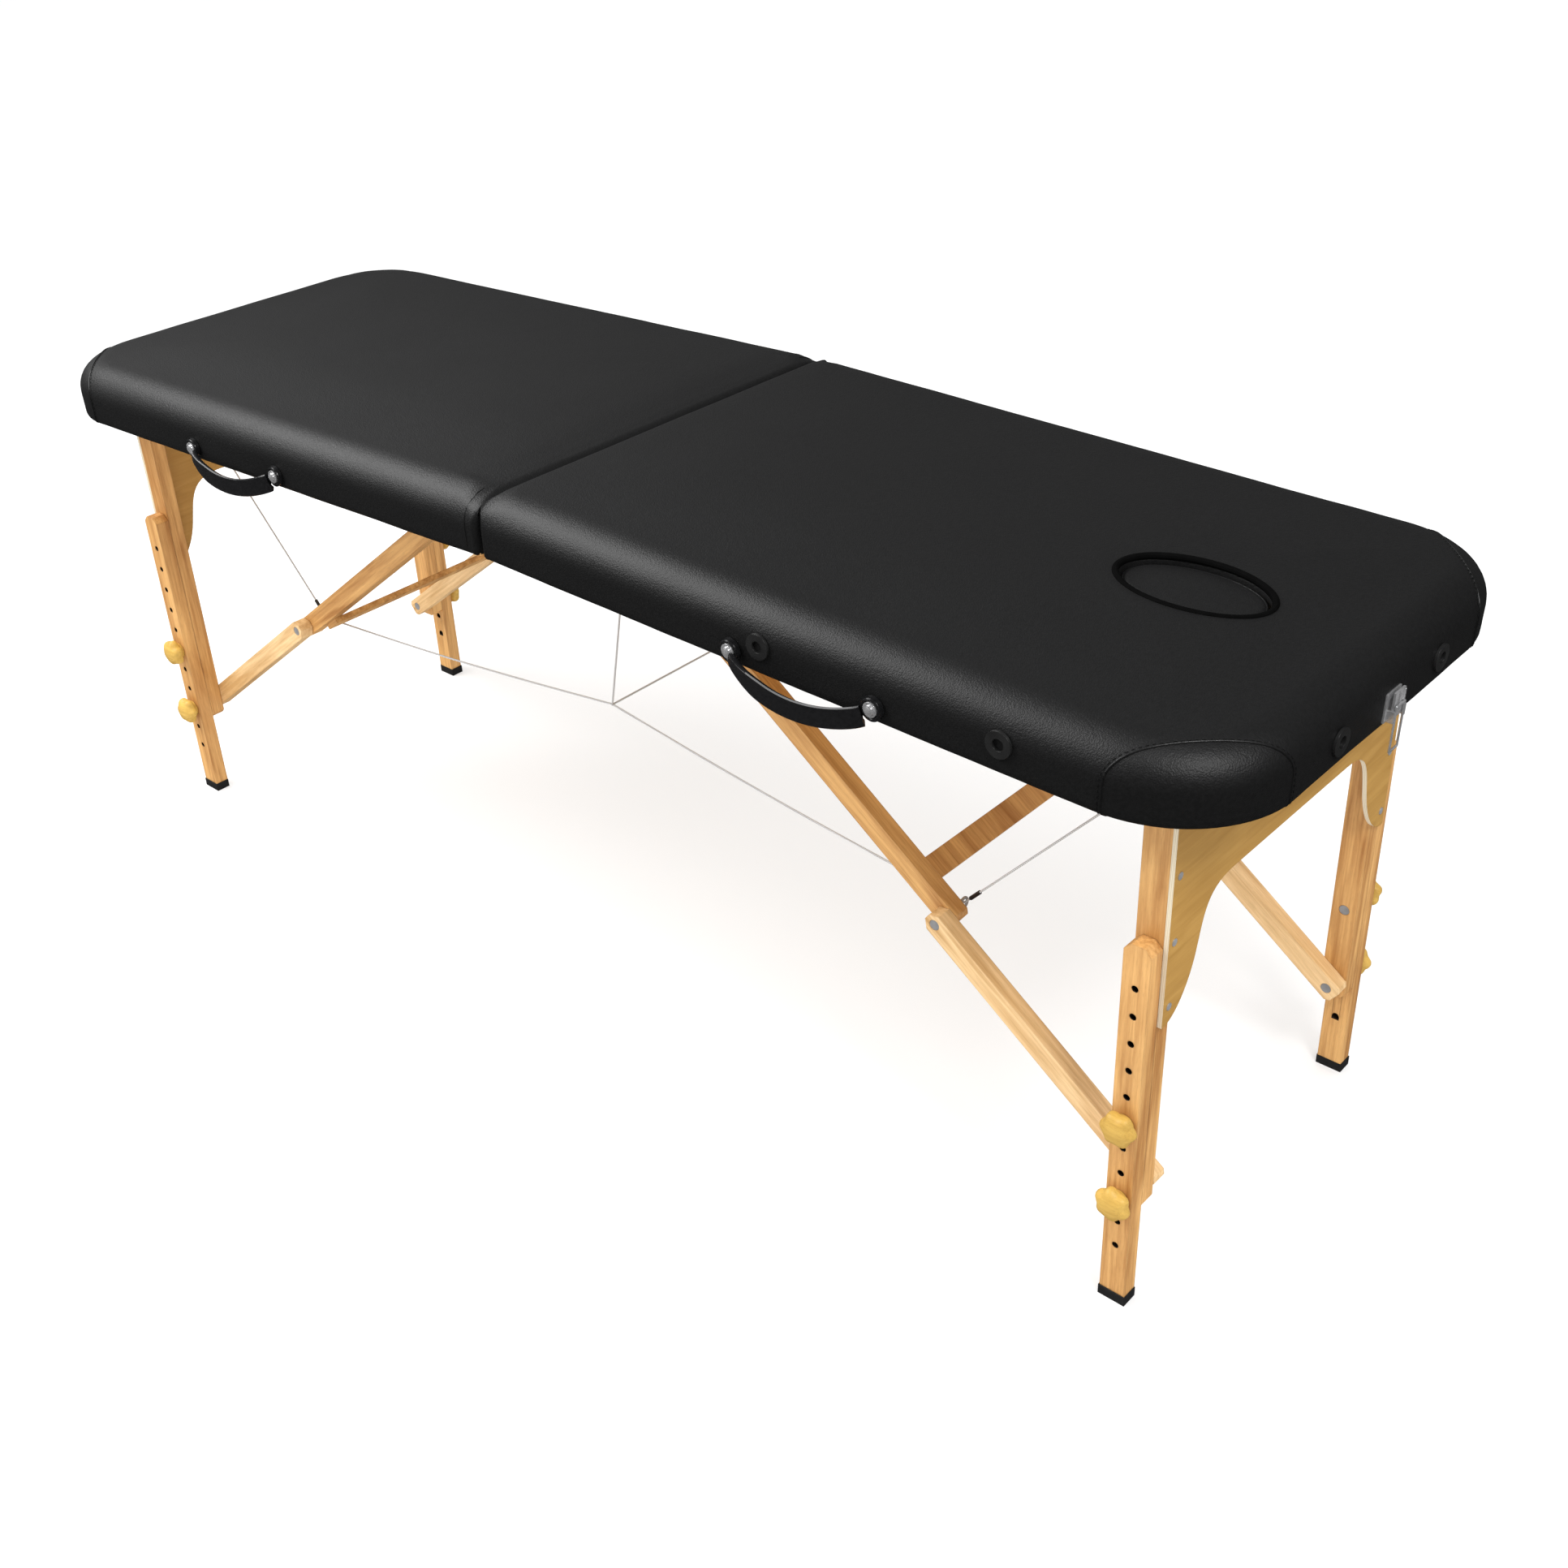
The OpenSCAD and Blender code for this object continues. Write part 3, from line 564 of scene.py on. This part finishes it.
def edge_distance(x, y):
    """How far a plan point lies inside the long sides and the rounded end."""
    dx = max(x - (HALF_L - CORNER_R), 0.0)
    dy = max(abs(y) - (HALF_W - CORNER_R), 0.0)
    if dx > 0 and dy > 0:
        return CORNER_R - math.hypot(dx, dy)
    return min(HALF_W - abs(y), HALF_L - x)


FOLD_DIP = {HEAD: 1.0 * MM, FOOT: 4.5 * MM}
FOLD_DIP_REACH = {HEAD: 40 * MM, FOOT: 75 * MM}
CROWN_REACH = 160 * MM


def top_height(end, x, y):
    """Height of the padding's top with its slight crown and its dip towards the fold."""
    rise = smooth((edge_distance(x, y) - EDGE_R) / CROWN_REACH) * smooth(x / CROWN_REACH)
    dip = FOLD_DIP[end] * (1 - smooth(x / FOLD_DIP_REACH[end]))
    return TOP_Z + CROWN * rise - dip


def cover_profile(end):
    """Insets and heights of the cover's rings up to the flat of the top: (side, height, fold, height)."""
    fold_r = FOLD_R[end]
    fold_top = TOP_Z - FOLD_DIP[end]
    tuck = [(20, 1.0), (10, 0.8), (4, 0.9), (1.2, 2.2), (0.2, 5)]
    side_rise = [10, 18, 26, 34]
    fold_rise = [14, 28, 42, 51]
    rings = [(d * MM, z * MM, d * MM + FOLD_X, z * MM) for d, z in tuck]
    for k in range(len(side_rise)):
        rings.append((0.0, side_rise[k] * MM, FOLD_X, fold_rise[k] * MM))
    for k in range(1, ARC_STEPS + 1):
        a = math.pi / 2 * k / ARC_STEPS
        rings.append((EDGE_R * (1 - math.cos(a)), TOP_Z - EDGE_DROP * (1 - math.sin(a)),
                      FOLD_X + fold_r * (1 - math.cos(a)), fold_top - fold_r * (1 - math.sin(a))))
    return rings


def cover_rings(end):
    """Rings of one half's cover in its own frame, from the tucked edge under the rails inwards."""
    rings = []
    for side, side_z, fold, fold_z in cover_profile(end):
        rings.append([Vector((x, y, side_z + (fold_z - side_z) * w)) for x, y, w in plan_outline(side, fold)])
    for step in TOP_RINGS:
        plan = plan_outline(EDGE_R + step * MM, FOLD_X + FOLD_R[end] + step * MM)
        rings.append([Vector((x, y, top_height(end, x, y))) for x, y, w in plan])
    outer = rings[-1]
    hole_a = PLUG_A + PLUG_GAP + LIP_R
    hole_b = PLUG_B + PLUG_GAP + LIP_R
    inner = []
    for point in outer:
        if end == HEAD:
            a = math.atan2(point.y / hole_b, (point.x - PLUG_X) / hole_a)
            inner.append((PLUG_X + hole_a * math.cos(a), hole_b * math.sin(a), a))
        else:
            middle = HALF_L / 2
            inner.append((middle + (point.x - middle) * MIDDLE_SHARE, point.y * MIDDLE_SHARE, 0.0))
    for k in range(1, INWARD_STEPS + 1):
        t = k / INWARD_STEPS
        ring = []
        for point, (x, y, a) in zip(outer, inner):
            px = point.x + (x - point.x) * t
            py = point.y + (y - point.y) * t
            ring.append(Vector((px, py, top_height(end, px, py))))
        rings.append(ring)
    if end == HEAD:
        for k in range(1, LIP_STEPS + 1):
            a = math.pi / 2 * k / LIP_STEPS
            back = LIP_R * math.sin(a)
            drop = LIP_R * (1 - math.cos(a))
            rings.append([Vector((PLUG_X + (hole_a - back) * math.cos(t), (hole_b - back) * math.sin(t),
                                  top_height(end, x, y) - drop)) for x, y, t in inner])
        rings.append([Vector((p.x, p.y, TOP_Z - HOLE_WALL)) for p in rings[-1]])
    return rings


def ripple(end, point):
    """Small unevenness of padding under its cover."""
    slow = noise.noise(point * 9 + Vector((end * 3.1, 0, 0)))
    quick = noise.noise(point * 34 + Vector((0, end * 5.7, 0)))
    return (0.55 * slow + 0.16 * quick) * MM


PUCKER_REACH = 90 * MM
PUCKER_DEPTH = 0.5 * MM
PUCKER_STEP = 11 * MM


def pucker(point):
    """Short folds of the cover running down from the top edge beside the fold."""
    if point.x > PUCKER_REACH or abs(point.y) < HALF_W - EDGE_R:
        return 0.0
    fade = smooth(1 - point.x / PUCKER_REACH)
    return PUCKER_DEPTH * fade * math.sin(point.x / PUCKER_STEP * math.tau)


def cover(end):
    """The stretched cover of one half."""
    name = END_NAMES[end]
    rings = cover_rings(end)
    size = len(rings[0])
    made = loft(name + "_cover", rings, black_leather, flip=(end == FOOT), cap_end=(end == FOOT),
                smooth_angle=60)
    mesh = made.data
    normals = [v.normal.copy() for v in mesh.vertices]
    tucked = 3 * size
    for vertex, normal in list(zip(mesh.vertices, normals))[tucked:]:
        vertex.co += end * normal * (ripple(end, vertex.co) - pucker(vertex.co))
    for vertex in mesh.vertices:
        vertex.co = to_world(end, *vertex.co)
    mesh.update()
    return made


def thicken(piece, thickness):
    """Gives an open sheet its thickness, inwards."""
    solid = piece.modifiers.new("thickness", "SOLIDIFY")
    solid.thickness = thickness
    solid.offset = -1
    bpy.context.view_layer.objects.active = piece
    bpy.ops.object.modifier_apply(modifier=solid.name)
    piece.data.shade_smooth()
    piece.data.set_sharp_from_angle(angle=math.radians(60))


def surface_of(piece):
    """Search tree of a piece's surface."""
    mesh = piece.data
    corners = [v.co.copy() for v in mesh.vertices]
    return BVHTree.FromPolygons(corners, [tuple(p.vertices) for p in mesh.polygons])


def seam_points(tree, end, a, b, z_low, lift_off):
    """Points where the cover meets the upright plane through plan points a and b, from edge to edge."""
    middle = ((a[0] + b[0]) / 2, (a[1] + b[1]) / 2)
    start = to_world(end, middle[0], middle[1], z_low)
    towards = (to_world(end, a[0], a[1], z_low) - start).normalized()
    up = to_world(end, 0, 0, 1) - to_world(end, 0, 0, 0)
    points = []
    for k in range(-24, 205, 2):
        angle = math.radians(k)
        direction = towards * math.cos(angle) + up * math.sin(angle)
        hit, normal = tree.ray_cast(start, direction)[:2]
        if hit is not None:
            out = normal if normal.dot(direction) > 0 else -normal
            points.append((hit + out * lift_off, out))
    return points


SEAM_R = 1.1 * MM
STITCH_STEP = 6 * MM
STITCH_R = 0.5 * MM
STITCH_GAP = 3.5 * MM
SEAM_FROM_END = 118 * MM
SEAM_FROM_SIDE = 116 * MM
SEAM_LOW_Z = 26 * MM
SIDE_SEAM_X = 20 * MM
SIDE_SEAM_R = 0.7 * MM


def corner_seam(end, side, tree):
    """Sewn seam of a corner piece: a folded edge and a row of stitches beside it."""
    a = (HALF_L - SEAM_FROM_END, side * HALF_W)
    b = (HALF_L, side * (HALF_W - SEAM_FROM_SIDE))
    found = seam_points(tree, end, a, b, SEAM_LOW_Z, 0.1 * MM)
    points = resample([p for p, out in found], 4 * MM)
    name = END_NAMES[end] + "_" + SIDE_NAMES[side] + "_corner_seam"
    cord = tube(name, points, SEAM_R, piping, Vector((0.3, 0.2, 1)))
    a2 = (a[0] - STITCH_GAP, a[1])
    b2 = (b[0], b[1] - side * STITCH_GAP)
    beside = seam_points(tree, end, a2, b2, SEAM_LOW_Z, 0.25 * MM)
    stitches = []
    path = resample([p for p, out in beside], STITCH_STEP / 4)
    for k in range(0, len(path) - 3, 4):
        stitches.append(tube("stitch", path[k:k + 3], STITCH_R, seam_thread, Vector((0.3, 0.2, 1))))
    row = join(name.replace("seam", "stitches"), stitches)
    for piece in (cord, row):
        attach(piece, END_NAMES[end] + "_half")


def side_seam(end, side, tree, x):
    """Short upright seam in the long side, from the top edge down to the tucked edge."""
    points = []
    for k in range(-10, 66, 4):
        angle = math.radians(k)
        start = to_world(end, x, side * (HALF_W - 60 * MM), 20 * MM)
        direction = Vector((0, side * math.cos(angle), math.sin(angle)))
        hit = tree.ray_cast(start, direction)[0]
        if hit is not None:
            points.append(hit)
    path = resample(points, 3 * MM)
    name = END_NAMES[end] + "_" + SIDE_NAMES[side] + "_side_seam"
    cord = tube(name, path, SIDE_SEAM_R, piping, Vector((1, 0, 0.1)))
    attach(cord, END_NAMES[end] + "_half")


def covers():
    """Covers, seams and stitches of both halves."""
    for end, name in END_NAMES.items():
        sheet = cover(end)
        tree = surface_of(sheet)
        for side in (-1, 1):
            corner_seam(end, side, tree)
            if end == FOOT:
                side_seam(end, side, tree, SIDE_SEAM_X)
        thicken(sheet, COVER_T)
        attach(sheet, name + "_half")
        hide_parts(name + "_pad")


PLUG_EDGE = 9 * MM
PLUG_CROWN = 3 * MM
PLUG_SEAM_IN = 2.4 * MM
PLUG_SEAM_DROP = 6 * MM
OVAL_STEPS = 96


def plug_cushion():
    """Crowned oval cushion that closes the face hole, with a seam round its edge."""
    base = plug_low.z
    top = TOP_Z + CROWN * 0.4
    shoulder = top - PLUG_CROWN
    profile = [(0.0, base), (0.0, shoulder - PLUG_EDGE)]
    for k in range(1, 8):
        a = math.pi / 2 * k / 7
        profile.append((PLUG_EDGE * (1 - math.cos(a)), shoulder - PLUG_EDGE * (1 - math.sin(a))))
    for inset, rise in ((14, 0.6), (22, 1.5), (31, 2.3), (40, 2.8), (46.9, 3.0)):
        profile.append((inset * MM, shoulder + rise * MM))
    rings = []
    for inset, z in profile:
        reach = PLUG_A - inset * PLUG_A / PLUG_B if inset > PLUG_EDGE else PLUG_A - inset
        ring = []
        for i in range(OVAL_STEPS):
            t = math.tau * i / OVAL_STEPS
            x = PLUG_X + reach * math.cos(t)
            y = (PLUG_B - inset) * math.sin(t)
            ring.append(to_world(HEAD, x, y, z))
        rings.append(ring)
    made = loft("face_plug_cushion", rings, black_leather, cap_start=True, cap_end=True, smooth_angle=60)
    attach(made, "face_plug")
    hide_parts("head_plug")
    seam = []
    for i in range(OVAL_STEPS + 1):
        t = math.tau * i / OVAL_STEPS
        x = PLUG_X + (PLUG_A - PLUG_SEAM_IN) * math.cos(t)
        y = (PLUG_B - PLUG_SEAM_IN) * math.sin(t)
        seam.append(to_world(HEAD, x, y, top - PLUG_SEAM_DROP))
    cord = tube("face_plug_seam", seam, SEAM_R, piping)
    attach(cord, "face_plug")


HOLE_LIP_OUT = 2.6 * MM
HOLE_LIP_DROP = 1.4 * MM
HOLE_LIP_R = 3.8 * MM


def hole_lip():
    """Rolled edge sewn round the face hole, in matte near-black as painted shade of the gap beside the plug.
    """
    path = []
    for i in range(OVAL_STEPS + 1):
        t = math.tau * i / OVAL_STEPS
        x = PLUG_X + (PLUG_A + PLUG_GAP + HOLE_LIP_OUT) * math.cos(t)
        y = (PLUG_B + PLUG_GAP + HOLE_LIP_OUT) * math.sin(t)
        path.append(to_world(HEAD, x, y, top_height(HEAD, x, y) - HOLE_LIP_DROP))
    made = tube("face_hole_lip", path, HOLE_LIP_R, hole_lip_gap_shade)
    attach(made, "head_half")


# ---------- handles ----------

BAND_W = 23 * MM
BAND_T = 6 * MM
BAND_SAG = 17 * MM
BAND_BULGE = 14 * MM
BAND_START = 4 * MM
BAND_SHORTER = 12 * MM
BAND_DROP = 5 * MM
BAND_TILT = 4 * MM
BAND_OUT = 3 * MM
BAND_STEPS = 40
RIM_SHARE = 0.8
RIM_R = 1.5 * MM
RIM_STEPS = 32
SCREW_DOME_R = 5.2 * MM
SCREW_DOME_H = 3.0 * MM
SCREW_DOME_OUT = 2 * MM


def band_section(share):
    """Section of the padded band: flat behind, three long ribs in front, rolled upper edge."""
    taper = 0.55 + 0.45 * smooth(share / 0.3)
    half = BAND_W / 2 * taper
    front = []
    steps = 24
    for i in range(steps + 1):
        u = -half + 2 * half * i / steps
        rib = 0.5 + 0.5 * math.cos(3 * math.tau * i / steps + math.pi)
        roll = math.sqrt(max(0.0, 1 - (u / half) ** 6))
        front.append((-(BAND_T * (0.55 + 0.45 * rib) * roll), u))
    back = [(1.4 * MM, half * 0.9), (1.4 * MM, -half * 0.9)]
    return front + back


def handle(end):
    """Carrying handle on the near side: band, the two tabs and their domed screws."""
    name = END_NAMES[end]
    tab_low, tab_high = local_box(end, name + "_handle_tabs")
    radius = (tab_high.z - tab_low.z) / 2
    tab_z = (tab_low.z + tab_high.z) / 2
    face_y = tab_low.y
    xs = sorted((tab_low.x + radius, tab_high.x - radius), key=lambda x: end * x)
    left, right = (end * xs[0], end * xs[1])
    points = []
    for i in range(BAND_STEPS + 1):
        t = i / BAND_STEPS
        x = left + BAND_START + (right - left - BAND_SHORTER) * t
        arch = 1 - (2 * t - 1) ** 2
        z = tab_z - BAND_DROP - BAND_SAG * arch - BAND_TILT * t
        y = face_y - BAND_OUT - BAND_BULGE * arch ** 0.7
        points.append(to_world(end, end * x, y, z))
    rings = sweep_rings(points, band_section, Vector((0, 0, 1)))
    band = loft(name + "_handle_band", rings, strap_leather, cap_start=True, cap_end=True, smooth_angle=50)
    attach(band, name + "_handle_strap")
    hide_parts(name + "_handle")
    pieces = []
    for x in (left, right):
        centre = to_world(end, end * x, face_y, tab_z)
        rim = [centre + Vector((radius * RIM_SHARE * math.cos(t * math.tau / RIM_STEPS), 0,
                                radius * RIM_SHARE * math.sin(t * math.tau / RIM_STEPS)))
               for t in range(RIM_STEPS + 1)]
        pieces.append(tube("rim", rim, RIM_R, strap_leather, Vector((0, 1, 0))))
    rims = join(name + "_handle_rims", pieces)
    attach(rims, name + "_half")
    domes = [dome(to_world(end, end * x, face_y - SCREW_DOME_OUT, tab_z), SCREW_DOME_R, SCREW_DOME_H)
             for x in (left, right)]
    caps = join(name + "_handle_screw_domes", domes)
    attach(caps, name + "_half")


def dome(centre, radius, height):
    """Domed screw head facing the near side."""
    rings = []
    for k in range(8):
        a = math.pi / 2 * k / 8
        r = radius * math.cos(a)
        y = -height * math.sin(a)
        rings.append([centre + Vector((r * math.cos(t * math.tau / 28), y, r * math.sin(t * math.tau / 28)))
                      for t in range(28)])
    return loft("dome", rings, chrome, cap_start=True, cap_end=True)


# ---------- knobs ----------

KNOB_LOBES = 6
KNOB_LOBE_DEPTH = 0.075
KNOB_STEPS = 72
KNOB_TURN_STEP = 0.35
# share of the knob's depth from the leg outwards, share of its radius
KNOB_PROFILE = [
    (0.0, 0.50), (0.02, 0.56), (0.16, 0.57), (0.22, 0.70), (0.26, 0.88), (0.34, 0.97), (0.46, 1.0),
    (0.60, 0.99), (0.72, 0.93), (0.82, 0.82), (0.90, 0.66), (0.96, 0.45), (0.99, 0.24), (1.0, 0.06)]


def knob(end, side, level):
    """Turned wooden hand knob with soft lobes and a domed face."""
    node = "_".join((END_NAMES[end], SIDE_NAMES[side], level, "knob"))
    low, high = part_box(node)
    centre = (low + high) / 2
    inner_y = low.y if side > 0 else high.y
    depth = high.y - low.y
    turn = KNOB_TURN_STEP * (end + 2 * side + (level == "upper"))
    outer = (high.x - low.x) / 2
    rings = []
    for share, reach in KNOB_PROFILE:
        lobe = KNOB_LOBE_DEPTH * smooth((reach - 0.55) / 0.3)
        ring = []
        for i in range(KNOB_STEPS):
            t = math.tau * i / KNOB_STEPS
            r = outer * reach * (1 - lobe + lobe * math.cos(KNOB_LOBES * t))
            ring.append(Vector((centre.x + r * math.cos(t + turn), inner_y + side * share * depth,
                                centre.z + r * math.sin(t + turn))))
        rings.append(ring)
    made = loft(node + "_turned", rings, knob_wood, flip=(side > 0), cap_start=True, cap_end=True,
                smooth_angle=50)
    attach(made, node)
    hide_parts(node)


# ---------- height holes ----------

STRIP_HALF_W = 4.5 * MM
STRIP_T = 0.8 * MM
STRIP_HOLE_R = 4.3 * MM


def hole_strip(end, side):
    """Inner face of an extension between its height holes."""
    name = "_".join((END_NAMES[end], SIDE_NAMES[side]))
    low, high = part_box(name + "_extension")
    middle, first, pitch = height_holes(name)
    face_y = low.y if side > 0 else high.y
    count = int((high.z - first) / pitch)
    arc = [(STRIP_HOLE_R * math.cos(math.pi * i / 12), STRIP_HOLE_R * math.sin(math.pi * i / 12))
           for i in range(13)]
    pieces = []
    for k in range(count - 1):
        z0 = first + k * pitch
        z1 = z0 + pitch
        outline = [(-STRIP_HALF_W, z1), (-STRIP_HALF_W, z0)]
        outline += [(x, z0 + z) for x, z in reversed(arc)]
        outline += [(STRIP_HALF_W, z0), (STRIP_HALF_W, z1)]
        outline += [(x, z1 - z) for x, z in arc]
        rings = [[Vector((middle + x, y, z)) for x, z in outline]
                 for y in (face_y, face_y + side * STRIP_T)]
        pieces.append(loft("strip", rings, leg_wood, flip=(side < 0), cap_start=True, cap_end=True))
    made = join(name + "_hole_strip", pieces)
    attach(made, name + "_leg_extension")


# ---------- end panels ----------

ARCH_Z = 0.484
ARCH_SHOULDER = 52 * MM
LOBE_W = 62 * MM
LOBE_TIP = 62 * MM


def end_panel(end):
    """Plywood panel between the legs: arch in the middle, a lobe down each leg."""
    name = END_NAMES[end]
    low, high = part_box(name + "_end_panel")
    half = high.y
    wall = half - LOBE_W

    def at(y, z):
        return Vector((y, z, 0))

    side = [at(half, high.z)]
    side += [at(half, low.z + 12 * MM)]
    side += bezier(at(half, low.z), at(half - 22 * MM, low.z - 3 * MM), at(wall + 16 * MM, low.z + 28 * MM),
                   at(wall + 8 * MM, low.z + LOBE_TIP), 12)
    side += bezier(at(wall + 8 * MM, low.z + LOBE_TIP), at(wall - 1 * MM, low.z + 98 * MM),
                   at(wall - 2 * MM, ARCH_Z), at(wall - ARCH_SHOULDER, ARCH_Z), 14)
    side += [at(wall - ARCH_SHOULDER, ARCH_Z)]
    outline = side + [at(-p.x, p.y) for p in reversed(side)]
    rings = [[Vector((x, p.x, p.y)) for p in outline] for x in (low.x, high.x)]
    made = loft(name + "_arched_panel", rings, panel_ply, flip=True, cap_start=True, cap_end=True,
                smooth_angle=40)
    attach(made, name + "_legs")
    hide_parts(name + "_end_panel")


# ---------- cables ----------

CABLE_R = 1.2 * MM
CABLE_SAG = 5 * MM
FERRULE_R = 2.3 * MM
KNEE_INSET = 33 * MM
CENTRE_CABLE_R = 1.8 * MM
MIDDLE_GAP = 2 * MM


def half_cables(end):
    """Cables of one half: from the leg rail to each knee and on to the middle."""
    name = END_NAMES[end]
    eye_low, eye_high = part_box(name + "_knee_eyes")
    cable_low, cable_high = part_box(name + "_cables")
    anchor_x = cable_high.x if end == HEAD else cable_low.x
    pieces = []
    ferrules = []
    knee_x = (eye_low.x + eye_high.x) / 2
    knee_z = (eye_low.z + eye_high.z) / 2
    centre_low, centre_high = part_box("centre_cables")
    for side in (-1, 1):
        knee_y = side * (abs(eye_low.y) - KNEE_INSET)
        middle = Vector((end * MIDDLE_GAP, side * (centre_high.y - CENTRE_CABLE_R),
                         centre_low.z + CENTRE_CABLE_R))
        knee = Vector((knee_x, knee_y, knee_z))
        top = Vector((anchor_x - end * 1 * MM, knee_y, cable_high.z - 1 * MM))
        run = [top.lerp(knee, k / 12) for k in range(13)]
        sag = [knee.lerp(middle, k / 24) - Vector((0, 0, CABLE_SAG * math.sin(math.pi * k / 24)))
               for k in range(25)]
        pieces.append(tube("run", run, CABLE_R, wire, Vector((0, 1, 0))))
        pieces.append(tube("run", sag, CABLE_R, wire, Vector((0, 1, 0))))
        towards = (top - knee).normalized()
        ferrules.append(tube("ferrule", [knee + towards * d * MM for d in (12, 18, 24, 30)], FERRULE_R,
                             dark_steel, Vector((0, 1, 0))))
    cables = join(name + "_leg_cables", pieces)
    sleeves = join(name + "_cable_sleeves", ferrules)
    for piece in (cables, sleeves):
        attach(piece, name + "_half")
        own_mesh(piece)
    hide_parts(name + "_cables")


# ---------- room ----------

AIM_AZIMUTH = 0.754
AIM_DOWN = 0.55
AIM_ROLL = -0.049
CAMERA_AT = Vector((1.5095, -1.4538, 1.4804))
LENS = 42.26
SHIFT = (0.0077, -0.0018)
KEY_AT = (-1.5, -0.95, 2.35)
KEY_SIZE = (2.4, 1.7)
KEY_WATTS = 84
END_LIGHT_AT = (1.95, -0.65, 2.3)
END_LIGHT_SIZE = (0.6, 0.6)
END_LIGHT_WATTS = 30
FLOOR_HALF = 40


def camera():
    """Camera at three-quarter view from the near side of the head end."""
    forward = Vector((-math.sin(AIM_AZIMUTH) * math.cos(AIM_DOWN), math.cos(AIM_AZIMUTH) * math.cos(AIM_DOWN),
                      -math.sin(AIM_DOWN)))
    right = forward.cross(Vector((0, 0, 1))).normalized()
    up = right.cross(forward)
    rolled_right = right * math.cos(AIM_ROLL) + up * math.sin(AIM_ROLL)
    rolled_up = up * math.cos(AIM_ROLL) - right * math.sin(AIM_ROLL)
    data = bpy.data.cameras.new("camera")
    data.lens = LENS
    data.sensor_width = 36
    data.shift_x, data.shift_y = SHIFT
    data.clip_start = 0.05
    data.clip_end = 200
    made = bpy.data.objects.new("camera", data)
    turn = Matrix((rolled_right, rolled_up, -forward)).transposed().to_4x4()
    made.matrix_world = Matrix.Translation(CAMERA_AT) @ turn
    bpy.context.scene.collection.objects.link(made)
    bpy.context.scene.camera = made


def softbox(name, at, target, size, power):
    """Large area light aimed at a point."""
    data = bpy.data.lights.new(name, "AREA")
    data.shape = "RECTANGLE"
    data.size, data.size_y = size
    data.energy = power
    made = bpy.data.objects.new(name, data)
    made.location = at
    made.rotation_mode = "QUATERNION"
    made.rotation_quaternion = (Vector(target) - Vector(at)).to_track_quat("-Z", "Y")
    bpy.context.scene.collection.objects.link(made)


def floor():
    """Pale plain floor with soft shadows; dark in reflections, so that the black cover keeps its depth."""
    material = bpy.data.materials.new("floor")
    material.use_nodes = True
    tree = material.node_tree
    tree.nodes.clear()
    path = tree.nodes.new("ShaderNodeLightPath")
    matt = tree.nodes.new("ShaderNodeBsdfDiffuse")
    matt.inputs["Color"].default_value = (0.50, 0.50, 0.50, 1)
    glow = tree.nodes.new("ShaderNodeEmission")
    glow.inputs["Strength"].default_value = 0.46
    pale = tree.nodes.new("ShaderNodeAddShader")
    tree.links.new(matt.outputs[0], pale.inputs[0])
    tree.links.new(glow.outputs[0], pale.inputs[1])
    dim = tree.nodes.new("ShaderNodeBsdfDiffuse")
    dim.inputs["Color"].default_value = (0.03, 0.03, 0.03, 1)
    mix = tree.nodes.new("ShaderNodeMixShader")
    out = tree.nodes.new("ShaderNodeOutputMaterial")
    tree.links.new(path.outputs["Is Glossy Ray"], mix.inputs[0])
    tree.links.new(pale.outputs[0], mix.inputs[1])
    tree.links.new(dim.outputs[0], mix.inputs[2])
    tree.links.new(mix.outputs[0], out.inputs["Surface"])
    corners = [(x * FLOOR_HALF, y * FLOOR_HALF, 0) for x, y in ((-1, -1), (1, -1), (1, 1), (-1, 1))]
    made = new_object("floor", corners, [(0, 1, 2, 3)], material)


def world():
    """White surroundings; glossy surfaces mirror a dim studio that is brighter towards the foot end."""
    made = bpy.data.worlds.new("studio")
    bpy.context.scene.world = made
    made.use_nodes = True
    tree = made.node_tree
    tree.nodes.clear()
    path = tree.nodes.new("ShaderNodeLightPath")
    bright = tree.nodes.new("ShaderNodeBackground")
    bright.inputs["Color"].default_value = (1, 1, 1, 1)
    bright.inputs["Strength"].default_value = 1.1
    mirrored = tree.nodes.new("ShaderNodeBackground")
    towards = tree.nodes.new("ShaderNodeSeparateXYZ")
    fade = tree.nodes.new("ShaderNodeMapRange")
    for key, value in (("From Min", -0.8), ("From Max", 0.1), ("To Min", 0.20), ("To Max", 0.10)):
        fade.inputs[key].default_value = value
    tree.links.new(tree.nodes.new("ShaderNodeTexCoord").outputs["Generated"], towards.inputs[0])
    tree.links.new(towards.outputs[0], fade.inputs["Value"])
    tree.links.new(fade.outputs[0], mirrored.inputs["Strength"])
    mix = tree.nodes.new("ShaderNodeMixShader")
    out = tree.nodes.new("ShaderNodeOutputWorld")
    tree.links.new(path.outputs["Is Glossy Ray"], mix.inputs[0])
    tree.links.new(bright.outputs[0], mix.inputs[1])
    tree.links.new(mirrored.outputs[0], mix.inputs[2])
    tree.links.new(mix.outputs[0], out.inputs["Surface"])


def room():
    """Floor, surroundings, lights and camera."""
    floor()
    world()
    target = (0, 0, HINGE_Z)
    softbox("key_light", KEY_AT, target, KEY_SIZE, KEY_WATTS)
    softbox("end_light", END_LIGHT_AT, target, END_LIGHT_SIZE, END_LIGHT_WATTS)
    camera()
    bpy.context.scene.view_settings.view_transform = "Standard"


# ---------- build ----------

paint_frame()
covers()
plug_cushion()
hole_lip()
for end in (HEAD, FOOT):
    handle(end)
    end_panel(end)
    half_cables(end)
    for side in (-1, 1):
        hole_strip(end, side)
        for level in ("upper", "lower"):
            knob(end, side, level)
room()
